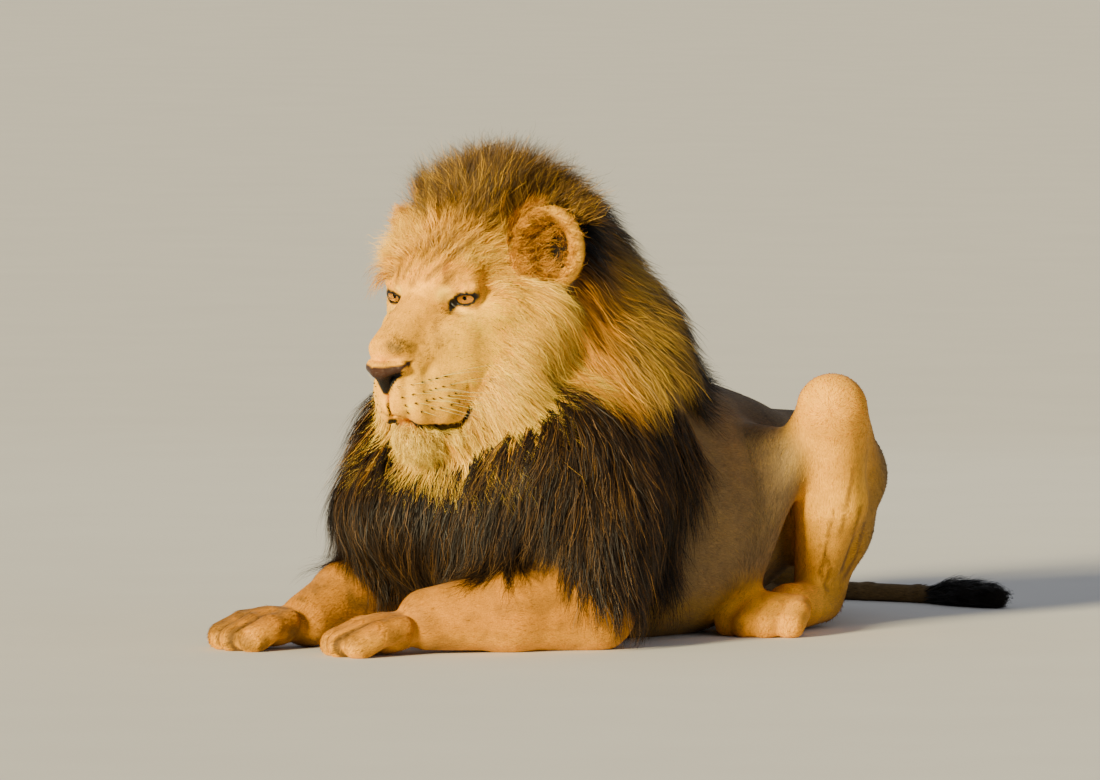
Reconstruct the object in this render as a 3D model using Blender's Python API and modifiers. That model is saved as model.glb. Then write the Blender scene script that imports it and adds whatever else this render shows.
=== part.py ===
# Male lion lying on its belly with the head raised, life size, metres.
# +X is the lion's left, -Y is the way it faces, +Z is up; it lies on z = 0.
import bpy
import bmesh
from mathutils import Vector, Matrix
from math import radians, sin, cos

for old in list(bpy.data.objects):
    bpy.data.objects.remove(old, do_unlink=True)

# ---------------------------------------------------------------- dimensions
SHIFT = Vector((0.0, -0.420, -0.006))   # brings the middle of the footprint to the origin
GAP = 0.0003                # clearance between neighbouring solids
COAT = 0.005                # short coat over the skin of body and legs
UNIT = 0.01016              # head unit: one centimetre of an average big male's head
EYES = Vector((0.0, -0.138, 0.578))     # point midway between the eyes
HEAD_PITCH = radians(17.3)  # nose-down angle of the head
HEAD_YAW = radians(1.8)     # head turned slightly to its left
EYE_RADIUS = 1.95           # head units
VOXEL = 0.0075              # blending grain of the body mass
FACES = 3375                # facets kept for the body mass before parting
FLOOR_LIFT = 0.006          # level at which the soft underside is flattened

FWD = Vector((sin(HEAD_YAW) * cos(HEAD_PITCH), -cos(HEAD_YAW) * cos(HEAD_PITCH), -sin(HEAD_PITCH)))
LEFT = Vector((cos(HEAD_YAW), sin(HEAD_YAW), 0.0))
UPW = LEFT.cross(FWD) * -1.0
if UPW.z < 0:
    UPW = -UPW
HEAD_AXES = (LEFT, FWD, UPW)


def hp(left, forward, up):
    """a point of the head: left, forward and up of the point between the eyes"""
    return EYES + (LEFT * left + FWD * forward + UPW * up) * UNIT


def axes_from(forward, up=Vector((0, 0, 1))):
    f = Vector(forward).normalized()
    x = f.cross(up).normalized()
    return (x, f, x.cross(f))


# ---------------------------------------------------------------- building blocks
lib = bpy.data.collections.new("lion")
bpy.context.scene.collection.children.link(lib)
store = bpy.data.collections.new("working_shapes")


def new_object(name, bm, where):
    me = bpy.data.meshes.new(name)
    bm.to_mesh(me)
    bm.free()
    ob = bpy.data.objects.new(name, me)
    where.objects.link(ob)
    return ob


class Mass:
    """a heap of eggs and tapered limbs that gets blended to one skin"""

    def __init__(self):
        self.bm = bmesh.new()

    def egg(self, centre, radii, axes=None, seg=24, rings=14):
        a = axes or (Vector((1, 0, 0)), Vector((0, 1, 0)), Vector((0, 0, 1)))
        m = Matrix.Identity(4)
        for i in range(3):
            for r in range(3):
                m[r][i] = a[i][r] * radii[i]
        if m.to_3x3().determinant() < 0:
            for r in range(3):
                m[r][0] = -m[r][0]
        m.translation = Vector(centre)
        bmesh.ops.create_uvsphere(self.bm, u_segments=seg, v_segments=rings, radius=1.0, matrix=m)

    def limb(self, a, b, ra, rb):
        """two spheres and the taper between them"""
        part = bmesh.new()
        for c, r in ((a, ra), (b, rb)):
            bmesh.ops.create_icosphere(part, subdivisions=3, radius=r, matrix=Matrix.Translation(Vector(c)))
        out = bmesh.ops.convex_hull(part, input=list(part.verts))
        junk = set(out["geom_interior"]) | set(out["geom_unused"])
        loose = [v for v in junk if isinstance(v, bmesh.types.BMVert)]
        bmesh.ops.delete(part, geom=loose, context="VERTS")
        tmp = bpy.data.meshes.new("limb")
        part.to_mesh(tmp)
        part.free()
        self.bm.from_mesh(tmp)
        bpy.data.meshes.remove(tmp)

    def hull(self, balls):
        """the tight wrap of several spheres"""
        part = bmesh.new()
        for c, r in balls:
            bmesh.ops.create_icosphere(part, subdivisions=2, radius=r, matrix=Matrix.Translation(Vector(c)))
        out = bmesh.ops.convex_hull(part, input=list(part.verts))
        junk = set(out["geom_interior"]) | set(out["geom_unused"])
        loose = [v for v in junk if isinstance(v, bmesh.types.BMVert)]
        bmesh.ops.delete(part, geom=loose, context="VERTS")
        tmp = bpy.data.meshes.new("wrap")
        part.to_mesh(tmp)
        part.free()
        self.bm.from_mesh(tmp)
        bpy.data.meshes.remove(tmp)

    def both_limb(self, a, b, ra, rb):
        for s in (1, -1):
            self.limb((a[0] * s, a[1], a[2]), (b[0] * s, b[1], b[2]), ra, rb)

    def head_limb(self, a, b, ra, rb):
        for s in (1, -1):
            self.limb(hp(a[0] * s, a[1], a[2]), hp(b[0] * s, b[1], b[2]), ra * UNIT, rb * UNIT)

    def head_egg(self, c, r, mirror=False):
        for s in ((1, -1) if mirror else (1,)):
            self.egg(hp(c[0] * s, c[1], c[2]), [v * UNIT for v in r], HEAD_AXES)

    def paw(self, wrist, ahead, length, width, toe):
        """a foot with four toes, from wrist or ankle to the toe tips"""
        w = Vector(wrist)
        d = Vector(ahead).normalized()
        side = Vector((-d.y, d.x, 0.0))
        self.egg(w + d * length * 0.50 + Vector((0, 0, 0.040 - w.z)), (width * 0.47, length * 0.40, 0.038), axes_from(d))
        for t in (-1.5, -0.5, 0.5, 1.5):
            a = w + d * length * 0.42 + side * (t * width * 0.22)
            a.z = 0.048
            b = w + d * length * (0.98 if abs(t) < 1 else 0.86) + side * (t * width * 0.29)
            b.z = toe
            self.limb(a, b, toe, toe)

    def blend(self, name, voxel, smooth, faces):
        """one closed skin over the heap, smoothed and faceted"""
        ob = new_object(name, self.bm, bpy.context.scene.collection)
        rm = ob.modifiers.new("weld", "REMESH")
        rm.mode = "VOXEL"
        rm.voxel_size = voxel
        sm = ob.modifiers.new("soften", "SMOOTH")
        sm.factor = 0.5
        sm.iterations = smooth
        apply_all(ob)
        tris = sum(len(p.vertices) - 2 for p in ob.data.polygons)
        dc = ob.modifiers.new("facet", "DECIMATE")
        dc.ratio = min(1.0, faces / tris)
        apply_all(ob)
        return ob


def apply_all(ob):
    dg = bpy.context.evaluated_depsgraph_get()
    dg.update()
    ev = ob.evaluated_get(dg)
    me = bpy.data.meshes.new_from_object(ev, preserve_all_data_layers=False, depsgraph=dg)
    old = ob.data
    ob.modifiers.clear()
    ob.data = me
    bpy.data.meshes.remove(old)


def boolean(ob, other, how):
    md = ob.modifiers.new(how.lower(), "BOOLEAN")
    md.operation = how
    md.solver = "EXACT"
    md.object = other
    apply_all(ob)


def copy_of(ob, name):
    c = bpy.data.objects.new(name, ob.data.copy())
    bpy.context.scene.collection.objects.link(c)
    return c


def drop(ob):
    me = ob.data
    bpy.data.objects.remove(ob, do_unlink=True)
    bpy.data.meshes.remove(me)


def block(centre, axes, half, grow=0.0):
    """an oriented box to part the solids with"""
    bm = bmesh.new()
    m = Matrix.Identity(4)
    for i in range(3):
        for r in range(3):
            m[r][i] = axes[i][r] * (half[i] + grow) * 2.0
    m.translation = Vector(centre)
    bmesh.ops.create_cube(bm, size=1.0, matrix=m)
    bmesh.ops.recalc_face_normals(bm, faces=bm.faces)
    return new_object("block", bm, bpy.context.scene.collection)


def take(rest, name, centre, axes, half):
    """cut the box-shaped region out of the rest and keep it as a solid of its own"""
    got = copy_of(rest, name)
    a = block(centre, axes, half)
    boolean(got, a, "INTERSECT")
    drop(a)
    b = block(centre, axes, half, GAP)
    boolean(rest, b, "DIFFERENCE")
    drop(b)
    return got


def keep_side(ob, point, normal):
    """keep the part on the side the normal points to, capped flat"""
    bm = bmesh.new()
    bm.from_mesh(ob.data)
    geom = list(bm.verts) + list(bm.edges) + list(bm.faces)
    cut = bmesh.ops.bisect_plane(bm, geom=geom, dist=1e-6, plane_co=Vector(point), plane_no=Vector(normal),
                                 clear_inner=True, clear_outer=False)
    rim = [e for e in cut["geom_cut"] if isinstance(e, bmesh.types.BMEdge)]
    bmesh.ops.triangle_fill(bm, use_beauty=True, use_dissolve=False, edges=rim, normal=Vector(normal) * -1.0)
    bmesh.ops.recalc_face_normals(bm, faces=bm.faces)
    me = bpy.data.meshes.new(ob.name)
    bm.to_mesh(me)
    bm.free()
    old = ob.data
    ob.data = me
    bpy.data.meshes.remove(old)


def split(rest, name, point, normal):
    """part the rest by one plane; the side the normal points to is the new solid"""
    n = Vector(normal).normalized()
    got = copy_of(rest, name)
    keep_side(got, Vector(point) + n * GAP * 0.5, n)
    keep_side(rest, Vector(point) - n * GAP * 0.5, -n)
    return got


# ---------------------------------------------------------------- the animal
m = Mass()
# skull, face and jaws
m.head_egg((0, -10.5, 0.5), (8.6, 11.2, 8.6))
m.head_egg((0, -3.0, 2.8), (6.4, 6.6, 4.2))
m.head_limb((2.0, 1.0, 2.0), (7.4, -1.8, 2.6), 1.8, 1.6)
m.head_limb((1.3, 0.5, 0.6), (1.5, 14.0, -4.0), 2.5, 2.3)
m.head_limb((3.6, 3.5, -4.0), (2.0, 12.4, -7.0), 3.3, 3.0)
m.head_egg((2.1, 10.8, -10.2), (3.5, 4.8, 4.5), True)
m.head_limb((6.0, 0.2, -4.6), (9.0, -7.0, -3.2), 2.6, 3.6)
m.head_egg((5.0, -0.5, -9.5), (4.6, 8.2, 7.2), True)
m.head_egg((7.2, -7.5, -9.5), (4.8, 7.4, 7.8), True)
m.head_limb((5.6, -5.0, -16.0), (2.8, 8.0, -18.0), 4.0, 3.4)
m.head_egg((0, 10.6, -18.2), (4.2, 4.5, 4.6))
# pale ruff and beard round the face
m.both_limb((0.125, 0.0, 0.60), (0.105, -0.065, 0.40), 0.050, 0.062)
m.both_limb((0.105, -0.065, 0.40), (0.03, -0.135, 0.335), 0.062, 0.050)
# mane: shoulders, crown, nape, chest
m.egg((0, 0.215, 0.435), (0.235, 0.245, 0.25))
m.egg((0, 0.055, 0.622), (0.200, 0.14, 0.210))
m.egg((0, 0.16, 0.585), (0.165, 0.18, 0.185))
m.egg((0, 0.04, 0.31), (0.265, 0.20, 0.20))
m.egg((-0.035, -0.045, 0.235), (0.225, 0.15, 0.14))
m.limb((-0.20, -0.03, 0.15), (0.10, -0.09, 0.16), 0.055, 0.06)
m.both_limb((0.20, 0.12, 0.30), (0.212, 0.06, 0.14), 0.110, 0.080)
m.egg((0.16, 0.21, 0.30), (0.11, 0.13, 0.16))
m.egg((-0.16, 0.21, 0.30), (0.11, 0.13, 0.16))
# trunk
m.egg((0, 0.20, 0.29), (0.215 + COAT, 0.24, 0.235))
m.egg((0, 0.36, 0.215), (0.245 + COAT, 0.30, 0.205 + COAT))
m.egg((0, 0.30, 0.10), (0.225 + COAT, 0.24, 0.12))
m.both_limb((0.035, 0.26, 0.36), (0.040, 0.60, 0.240), 0.15 + COAT, 0.145 + COAT)
m.both_limb((0.040, 0.60, 0.235), (0.050, 0.83, 0.218), 0.148 + COAT, 0.122 + COAT)
m.both_limb((0.10, 0.42, 0.13), (0.075, 0.62, 0.16), 0.125 + COAT, 0.105 + COAT)
for s in (1, -1):
    m.egg((s * 0.070, 0.825, 0.19), (0.105 + COAT, 0.115 + COAT, 0.14 + COAT))
m.both_limb((0.145, 0.20, 0.40), (0.165, 0.03, 0.17), 0.085 + COAT, 0.085 + COAT)
# left foreleg
ELBOW_L = (0.205, 0.025, 0.072)
MID_L = (0.13, -0.10, 0.074)
WRIST_L = (0.050, -0.215, 0.062)
m.limb((0.19, 0.10, 0.24), ELBOW_L, 0.095 + COAT, 0.072 + COAT)
m.limb(ELBOW_L, MID_L, 0.070 + COAT, 0.066 + COAT)
m.limb(MID_L, WRIST_L, 0.066 + COAT, 0.052 + COAT)
m.paw(WRIST_L, (-0.60, -0.80, 0), 0.155, 0.130, 0.028)
# right foreleg
ELBOW_R = (-0.20, 0.055, 0.07)
MID_R = (-0.200, -0.085, 0.078)
WRIST_R = (-0.199, -0.204, 0.050)
m.limb((-0.18, 0.12, 0.24), ELBOW_R, 0.095 + COAT, 0.072 + COAT)
m.limb(ELBOW_R, MID_R, 0.066 + COAT, 0.060 + COAT)
m.limb(MID_R, WRIST_R, 0.060 + COAT, 0.046 + COAT)
m.paw(WRIST_R, (-0.45, -0.89, 0), 0.146, 0.130, 0.028)
# hind legs: thigh, shank, foot
HIP = (0.10, 0.785, 0.235)
KNEE = (0.325, 0.545, 0.375)
CALF = (0.275, 0.630, 0.219)
SHIN = (0.285, 0.60, 0.22)
ANKLE = (0.236, 0.628, 0.09)
HEEL = (0.232, 0.652, 0.050)
for s in (1, -1):
    m.hull([((s * HIP[0], HIP[1], HIP[2]), 0.110 + COAT), ((s * 0.105, 0.83, 0.17), 0.085 + COAT),
            ((s * 0.23, 0.70, 0.255), 0.086 + COAT), ((s * 0.208, 0.705, 0.170), 0.071 + COAT),
            ((s * KNEE[0], KNEE[1], KNEE[2]), 0.058 + COAT)])
    m.limb((s * 0.208, 0.705, 0.170), (s * CALF[0], CALF[1], CALF[2]), 0.069 + COAT, 0.050 + COAT)
    m.limb((s * 0.208, 0.705, 0.170), (s * 0.238, 0.665, 0.078), 0.068 + COAT, 0.036 + COAT)
m.both_limb(KNEE, SHIN, 0.052 + COAT, 0.060 + COAT)
m.both_limb(SHIN, ANKLE, 0.056 + COAT, 0.036 + COAT)
m.both_limb(HEEL, (0.255, 0.524, 0.048), 0.036 + COAT, 0.042 + COAT)
m.paw((0.255, 0.530, 0.052), (0.18, -0.984, 0), 0.150, 0.128, 0.028)
m.paw((-0.255, 0.530, 0.052), (-0.18, -0.984, 0), 0.150, 0.128, 0.028)
# loose skin from the knee down to the belly
m.both_limb((0.285, 0.535, 0.340), (0.200, 0.440, 0.090), 0.028 + COAT, 0.040 + COAT)
m.both_limb((0.225, 0.505, 0.318), (0.178, 0.420, 0.105), 0.050 + COAT, 0.062 + COAT)
# tail: falls behind the rump, bends to the right and comes back along the ground
TAIL = ((0, 0.93, 0.22, 0.048), (-0.02, 1.00, 0.10, 0.040), (-0.10, 1.04, 0.038, 0.032),
        (-0.20, 1.08, 0.024, 0.025), (-0.235, 1.14, 0.022, 0.023), (-0.16, 1.185, 0.021, 0.022),
        (-0.04, 1.20, 0.020, 0.021), (0.06, 1.205, 0.020, 0.020), (0.14, 1.195, 0.020, 0.020))
for a, b in zip(TAIL[:-1], TAIL[1:]):
    m.limb(a[:3], b[:3], a[3], b[3])
m.limb((0.14, 1.195, 0.027), (0.21, 1.175, 0.029), 0.024, 0.031)
m.limb((0.21, 1.175, 0.029), (0.262, 1.155, 0.022), 0.031, 0.018)

rest = m.blend("lion_mass", VOXEL, 4, FACES)
keep_side(rest, (0, 0, FLOOR_LIFT), (0, 0, 1))

# ---------------------------------------------------------------- set-in parts
solids = []


def set_in(ob, swell):
    """seat a part in the body mass with the clearance all round it"""
    cutter = copy_of(ob, ob.name + "_seat")
    dp = cutter.modifiers.new("swell", "DISPLACE")
    dp.strength = swell
    dp.mid_level = 0.0
    apply_all(cutter)
    boolean(rest, cutter, "DIFFERENCE")
    drop(cutter)
    solids.append(ob)


# where each ear sits, which way it opens and how big it is, in head units:
# the left one turned out to the side, the right one laid back into the mane
EARS = {1: ((13.4, -15.4, 3.2), (5.2, 8.2, 0.6), (5.8, 2.9, 7.0)),
        -1: ((-13.4, -15.8, 2.8), (-7.0, 6.5, 0.2), (5.6, 2.9, 6.6))}
for side, s in (("left", 1), ("right", -1)):
    e = Mass()
    e.egg(hp(s * 6.4, -0.9, 0), [EYE_RADIUS * UNIT] * 3, HEAD_AXES, 12, 8)
    eye = new_object("eye_" + side, e.bm, bpy.context.scene.collection)
    set_in(eye, GAP * 1.2)
    # ear: a rounded cup opening forward and outward
    at, turn, size = EARS[s]
    c = hp(*at)
    look = hp(at[0] + turn[0], at[1] + turn[1], at[2] + turn[2]) - c
    ax = axes_from(look, UPW)
    e = Mass()
    e.egg(c, [v * UNIT for v in size], ax)
    ear = e.blend("ear_" + side, 0.004, 2, 220)
    h = Mass()
    h.egg(c + look.normalized() * 3.0 * UNIT + ax[2] * 0.3 * UNIT,
          ((size[0] - 1.4) * UNIT, 3.7 * UNIT, (size[2] - 1.5) * UNIT), ax, 12, 7)
    hollow = new_object("hollow", h.bm, bpy.context.scene.collection)
    seat = copy_of(ear, "seat")
    boolean(ear, hollow, "DIFFERENCE")
    drop(hollow)
    dp = seat.modifiers.new("swell", "DISPLACE")
    dp.strength = GAP * 1.2
    dp.mid_level = 0.0
    apply_all(seat)
    boolean(rest, seat, "DIFFERENCE")
    drop(seat)
    solids.append(ear)

n = Mass()
n.hull([(hp(s * 2.9, 14.9, -6.0), 1.0 * UNIT) for s in (1, -1)] +
       [(hp(s * 1.4, 17.1, -5.9), 0.9 * UNIT) for s in (1, -1)] +
       [(hp(0, 16.8, -9.4), 0.55 * UNIT), (hp(0, 13.6, -7.4), 1.2 * UNIT)])
nose = n.blend("nose", 0.0025, 1, 170)
set_in(nose, GAP * 1.2)

# ---------------------------------------------------------------- parting the body mass
WORLD = (Vector((1, 0, 0)), Vector((0, 1, 0)), Vector((0, 0, 1)))
solids.append(take(rest, "lower_jaw", hp(0, 11.5, -19.4), HEAD_AXES, (0.062, 0.087, 0.0518)))
solids.append(take(rest, "head", hp(0, 13.5, -1.7), HEAD_AXES, (0.30, 0.205, 0.2316)))

# feet
for name, wrist, d in (("left", WRIST_L, (-0.60, -0.80, 0)), ("right", WRIST_R, (-0.45, -0.89, 0))):
    ax = axes_from(d)
    c = Vector(wrist) + ax[1] * 0.105
    c.z = 0.06
    solids.append(take(rest, "fore_paw_" + name, c, ax, (0.088, 0.105, 0.075)))
for name, a, b in (("left", ELBOW_L, WRIST_L), ("right", ELBOW_R, WRIST_R)):
    d = Vector(b) - Vector(a)
    d.z = 0
    ax = axes_from(d)
    c = (Vector(a) + Vector(b)) * 0.5 - ax[1] * 0.012
    c.z = 0.05
    solids.append(take(rest, "foreleg_" + name, c, ax, (0.095, d.length * 0.5 + 0.04, 0.098)))
for name, s in (("left", 1), ("right", -1)):
    solids.append(take(rest, "hind_foot_" + name, (s * 0.283, 0.512, 0.04), WORLD, (0.080, 0.205, 0.062)))
for name, s in (("left", 1), ("right", -1)):
    ax = axes_from((0, 0.36, -0.93), Vector((s, 0, 0)))
    solids.append(take(rest, "shank_" + name, (s * 0.325, 0.553, 0.24), ax, (0.083, 0.30, 0.103)))

got = split(rest, "tail_all", (0, 0.978, 0), (0, 1, 0))
tuft = split(got, "tail_tuft", (0.135, 0, 0), (1, 0, 0))
end = split(got, "tail_end", (0, 1.13, 0), (0, 1, 0))
got.name = "tail_base"
solids += [got, tuft, end]

mane = split(rest, "mane", (0, 0.33, 0.40), (0, -0.79, 0.61))
chest = split(mane, "chest_mane", (0, 0.0, 0.345), (0, 0.15, -1))
solids += [mane, chest]
for name, s in (("left", 1), ("right", -1)):
    solids.append(take(rest, "thigh_" + name, (s * 0.325, 0.75, 0.20), WORLD, (0.20, 0.235, 0.30)))
rump = split(rest, "rump", (0, 0.66, 0), (0, 1, 0))
rest.name = "trunk"
solids += [rump, rest]

# ---------------------------------------------------------------- tidy, move to the origin, colour
TINT = {"head": (0.62, 0.40, 0.18), "lower_jaw": (0.72, 0.56, 0.34), "nose": (0.05, 0.03, 0.025), "eye": (0.45, 0.22, 0.05),
        "ear": (0.60, 0.33, 0.12), "mane": (0.16, 0.09, 0.04), "chest": (0.06, 0.035, 0.02), "tail": (0.42, 0.30, 0.17)}


def islands(bm):
    left = set(bm.faces)
    out = []
    while left:
        seed = left.pop()
        grp = [seed]
        stack = [seed]
        while stack:
            f = stack.pop()
            for e in f.edges:
                for g in e.link_faces:
                    if g in left:
                        left.discard(g)
                        grp.append(g)
                        stack.append(g)
        out.append(grp)
    return out


def tidy(me, dist):
    """drop slivers and stray crumbs; answers the solid and whether it is closed"""
    bm = bmesh.new()
    bm.from_mesh(me)
    if dist > 0:
        bmesh.ops.remove_doubles(bm, verts=bm.verts, dist=dist)
        bmesh.ops.dissolve_degenerate(bm, dist=dist * 0.6, edges=bm.edges)
    groups = islands(bm)
    groups.sort(key=len, reverse=True)
    for g in groups[1:]:
        bmesh.ops.delete(bm, geom=g, context="FACES")
    bmesh.ops.triangulate(bm, faces=bm.faces)
    loose = [v for v in bm.verts if not v.link_faces]
    bmesh.ops.delete(bm, geom=loose, context="VERTS")
    return bm, all(len(e.link_faces) == 2 for e in bm.edges), [len(g) for g in groups]


for ob in solids:
    for dist in (0.00005, 0.00002, 0.000005, 0.000001, 0.0):
        bm, closed, groups = tidy(ob.data, dist)
        if closed:
            break
        if dist > 0:
            bm.free()
    bmesh.ops.translate(bm, verts=bm.verts, vec=SHIFT)
    bmesh.ops.recalc_face_normals(bm, faces=bm.faces)
    print("SOLID", ob.name, "faces", len(bm.faces), "islands", groups, "merge", dist, "closed", closed,
          "volume %.6f" % bm.calc_volume())
    bm.to_mesh(ob.data)
    bm.free()
    mat = bpy.data.materials.new("coat_" + ob.name)
    mat.use_nodes = True
    tint = TINT.get(ob.name.split("_")[0], (0.50, 0.34, 0.18))
    bsdf = mat.node_tree.nodes["Principled BSDF"]
    bsdf.inputs["Base Color"].default_value = (tint[0], tint[1], tint[2], 1.0)
    bsdf.inputs["Roughness"].default_value = 0.3 if ob.name.startswith(("eye", "nose")) else 0.85
    ob.data.materials.clear()
    ob.data.materials.append(mat)
    for c in list(ob.users_collection):
        c.objects.unlink(ob)
    lib.objects.link(ob)
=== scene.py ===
import math
import bpy
import numpy as np
from mathutils import Vector, Matrix
from mathutils.kdtree import KDTree


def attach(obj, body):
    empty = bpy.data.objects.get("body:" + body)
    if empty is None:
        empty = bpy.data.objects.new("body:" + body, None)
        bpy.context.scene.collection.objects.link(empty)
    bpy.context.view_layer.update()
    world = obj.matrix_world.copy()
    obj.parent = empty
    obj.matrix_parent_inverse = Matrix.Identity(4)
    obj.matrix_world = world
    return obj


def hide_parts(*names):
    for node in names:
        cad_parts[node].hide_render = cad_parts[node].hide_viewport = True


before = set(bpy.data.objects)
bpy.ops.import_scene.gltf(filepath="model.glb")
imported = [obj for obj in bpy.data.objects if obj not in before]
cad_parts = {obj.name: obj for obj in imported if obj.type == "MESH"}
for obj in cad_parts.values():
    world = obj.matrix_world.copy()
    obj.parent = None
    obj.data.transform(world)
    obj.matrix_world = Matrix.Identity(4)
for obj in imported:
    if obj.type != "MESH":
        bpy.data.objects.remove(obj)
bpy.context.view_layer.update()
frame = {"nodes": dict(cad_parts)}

# ------------------------------------------------------------------ shape of the animal
# Eggs and tapered limbs blended to one skin. Metres, +X the lion's left, -Y ahead, +Z up.
SHIFT = np.array([0.0, -0.420, -0.006])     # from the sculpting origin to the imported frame
UNIT = 0.01016                              # head unit: one centimetre of an average big male's head
EYES = np.array([0.0, -0.138, 0.578])
PITCH, YAW = np.radians(17.3), np.radians(1.8)
H_FWD = np.array([np.sin(YAW) * np.cos(PITCH), -np.cos(YAW) * np.cos(PITCH), -np.sin(PITCH)])
H_LEFT = np.array([np.cos(YAW), np.sin(YAW), 0.0])
H_UP = -np.cross(H_LEFT, H_FWD)
H_UP = H_UP if H_UP[2] > 0 else -H_UP
H_AXES = np.stack([H_LEFT, H_FWD, H_UP])


def hp(x, y, z):
    return EYES + UNIT * (x * H_LEFT + y * H_FWD + z * H_UP)


def to_head(p):
    return (np.asarray(p) - EYES) @ H_AXES.T / UNIT


def axes_from(forward, up=(0, 0, 1)):
    f = np.array(forward, float)
    f /= np.linalg.norm(f)
    x = np.cross(f, np.array(up, float))
    x /= np.linalg.norm(x)
    return np.stack([x, f, np.cross(x, f)])


class Egg:
    def __init__(s, c, r, axes=None):
        s.c = np.array(c, float)
        s.r = np.array(r, float) * np.ones(3)
        s.R = np.eye(3) if axes is None else np.array(axes, float)

    def bounds(s, m):
        e = np.sqrt(((s.R.T * s.r) ** 2).sum(1)) + m
        return s.c - e, s.c + e

    def dist(s, X, Y, Z):
        p = [(X - s.c[0]) * s.R[i, 0] + (Y - s.c[1]) * s.R[i, 1] + (Z - s.c[2]) * s.R[i, 2] for i in range(3)]
        k0 = np.sqrt(sum((p[i] / s.r[i]) ** 2 for i in range(3)))
        k1 = np.sqrt(sum((p[i] / s.r[i] ** 2) ** 2 for i in range(3)))
        return np.where(k1 > 1e-6, k0 * (k0 - 1) / np.maximum(k1, 1e-6), -s.r.min())


class Limb:
    def __init__(s, a, b, ra, rb):
        s.a, s.b, s.ra, s.rb = np.array(a, float), np.array(b, float), float(ra), float(rb)

    def bounds(s, m):
        return np.minimum(s.a - s.ra, s.b - s.rb) - m, np.maximum(s.a + s.ra, s.b + s.rb) + m

    def dist(s, X, Y, Z):
        ba = s.b - s.a
        l2 = float(ba @ ba)
        rr = s.ra - s.rb
        a2 = max(l2 - rr * rr, 1e-9)
        px, py, pz = X - s.a[0], Y - s.a[1], Z - s.a[2]
        y = px * ba[0] + py * ba[1] + pz * ba[2]
        z = y - l2
        x2 = (px * l2 - ba[0] * y) ** 2 + (py * l2 - ba[1] * y) ** 2 + (pz * l2 - ba[2] * y) ** 2
        y2, z2 = y * y * l2, z * z * l2
        k = np.sign(rr) * rr * rr * x2
        d = (np.sqrt(x2 * a2 / l2) + y * rr) / l2 - s.ra
        return np.where(np.sign(z) * a2 * z2 > k, np.sqrt(x2 + z2) / l2 - s.rb,
                        np.where(np.sign(y) * a2 * y2 < k, np.sqrt(x2 + y2) / l2 - s.ra, d))


def soft_min(a, b, k):
    if k <= 0:
        return np.minimum(a, b)
    h = np.maximum(k - np.abs(a - b), 0) / k
    return np.minimum(a, b) - h * h * k * 0.25


def evaluate(shapes, ax, margin=0.022):
    """blend the shapes on the grid with axis coordinates ax"""
    G = np.full([len(a) for a in ax], 0.5, np.float32)
    for op, p, k in shapes:
        b0, b1 = p.bounds(k + margin)
        i0 = [int(np.searchsorted(ax[i], b0[i])) for i in range(3)]
        i1 = [int(np.searchsorted(ax[i], b1[i])) for i in range(3)]
        if min(j - i for i, j in zip(i0, i1)) <= 0:
            continue
        sl = tuple(slice(i0[i], i1[i]) for i in range(3))
        d = p.dist(ax[0][sl[0]][:, None, None], ax[1][sl[1]][None, :, None], ax[2][sl[2]][None, None, :]).astype(np.float32)
        g = G[sl]
        G[sl] = soft_min(g, d, k) if op == "+" else -soft_min(-g, d, k)
    return G


def surface(G, ax):
    """quads of the zero level: one vertex in each cell the surface passes"""
    s = G < 0
    c = np.zeros([n - 1 for n in G.shape], np.uint8)
    for i in (0, 1):
        for j in (0, 1):
            for k in (0, 1):
                c += s[i:s.shape[0] - 1 + i, j:s.shape[1] - 1 + j, k:s.shape[2] - 1 + k]
    act = (c > 0) & (c < 8)
    idx = np.argwhere(act)
    vid = np.full(act.shape, -1, np.int64)
    vid[act] = np.arange(len(idx))
    acc = np.zeros((len(idx), 3))
    cnt = np.zeros(len(idx))
    I, J, K = idx.T
    for a in range(3):
        o1, o2 = [(1, 2), (0, 2), (0, 1)][a]
        for u in (0, 1):
            for v in (0, 1):
                off = [0, 0, 0]
                off[o1], off[o2] = u, v
                of2 = list(off)
                of2[a] = 1
                g0 = G[I + off[0], J + off[1], K + off[2]]
                g1 = G[I + of2[0], J + of2[1], K + of2[2]]
                m = (g0 < 0) != (g1 < 0)
                t = np.where(m, g0 / np.where(m, g0 - g1, 1), 0)
                p = np.tile(np.array(off, float), (len(I), 1))
                p[:, a] = t
                acc[m] += p[m]
                cnt[m] += 1
    f = acc / np.maximum(cnt, 1)[:, None]
    V = np.empty((len(idx), 3))
    for a in range(3):
        lo = ax[a][idx[:, a]]
        V[:, a] = lo + (ax[a][idx[:, a] + 1] - lo) * f[:, a]
    F = []
    for a in range(3):
        o1, o2 = [(1, 2), (2, 0), (0, 1)][a]
        u = [slice(1, -1)] * 3
        u[a] = slice(0, -1)
        w = [slice(1, -1)] * 3
        w[a] = slice(1, None)
        s0, s1 = s[tuple(u)], s[tuple(w)]
        m = s0 != s1
        e = np.argwhere(m) + 1
        e[:, a] -= 1
        q = []
        for d1, d2 in ((-1, -1), (0, -1), (0, 0), (-1, 0)):
            g = e.copy()
            g[:, o1] += d1
            g[:, o2] += d2
            q.append(vid[g[:, 0], g[:, 1], g[:, 2]])
        q = np.stack(q, 1)
        flip = ~s0[m]
        q[flip] = q[flip][:, ::-1]
        F.append(q)
    return V, np.concatenate(F)


SHAPES, LABEL = [], []
PART = "trunk"


def add(op, p, k=0.0, flow=None):
    SHAPES.append((op, p, k))
    if flow is None and isinstance(p, Limb):
        flow = p.b - p.a
    LABEL.append((PART, None if flow is None else np.array(flow, float) / max(np.linalg.norm(flow), 1e-6)))


def head_limb(a, b, ra, rb):
    return Limb(hp(*a), hp(*b), ra * UNIT, rb * UNIT)


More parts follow.
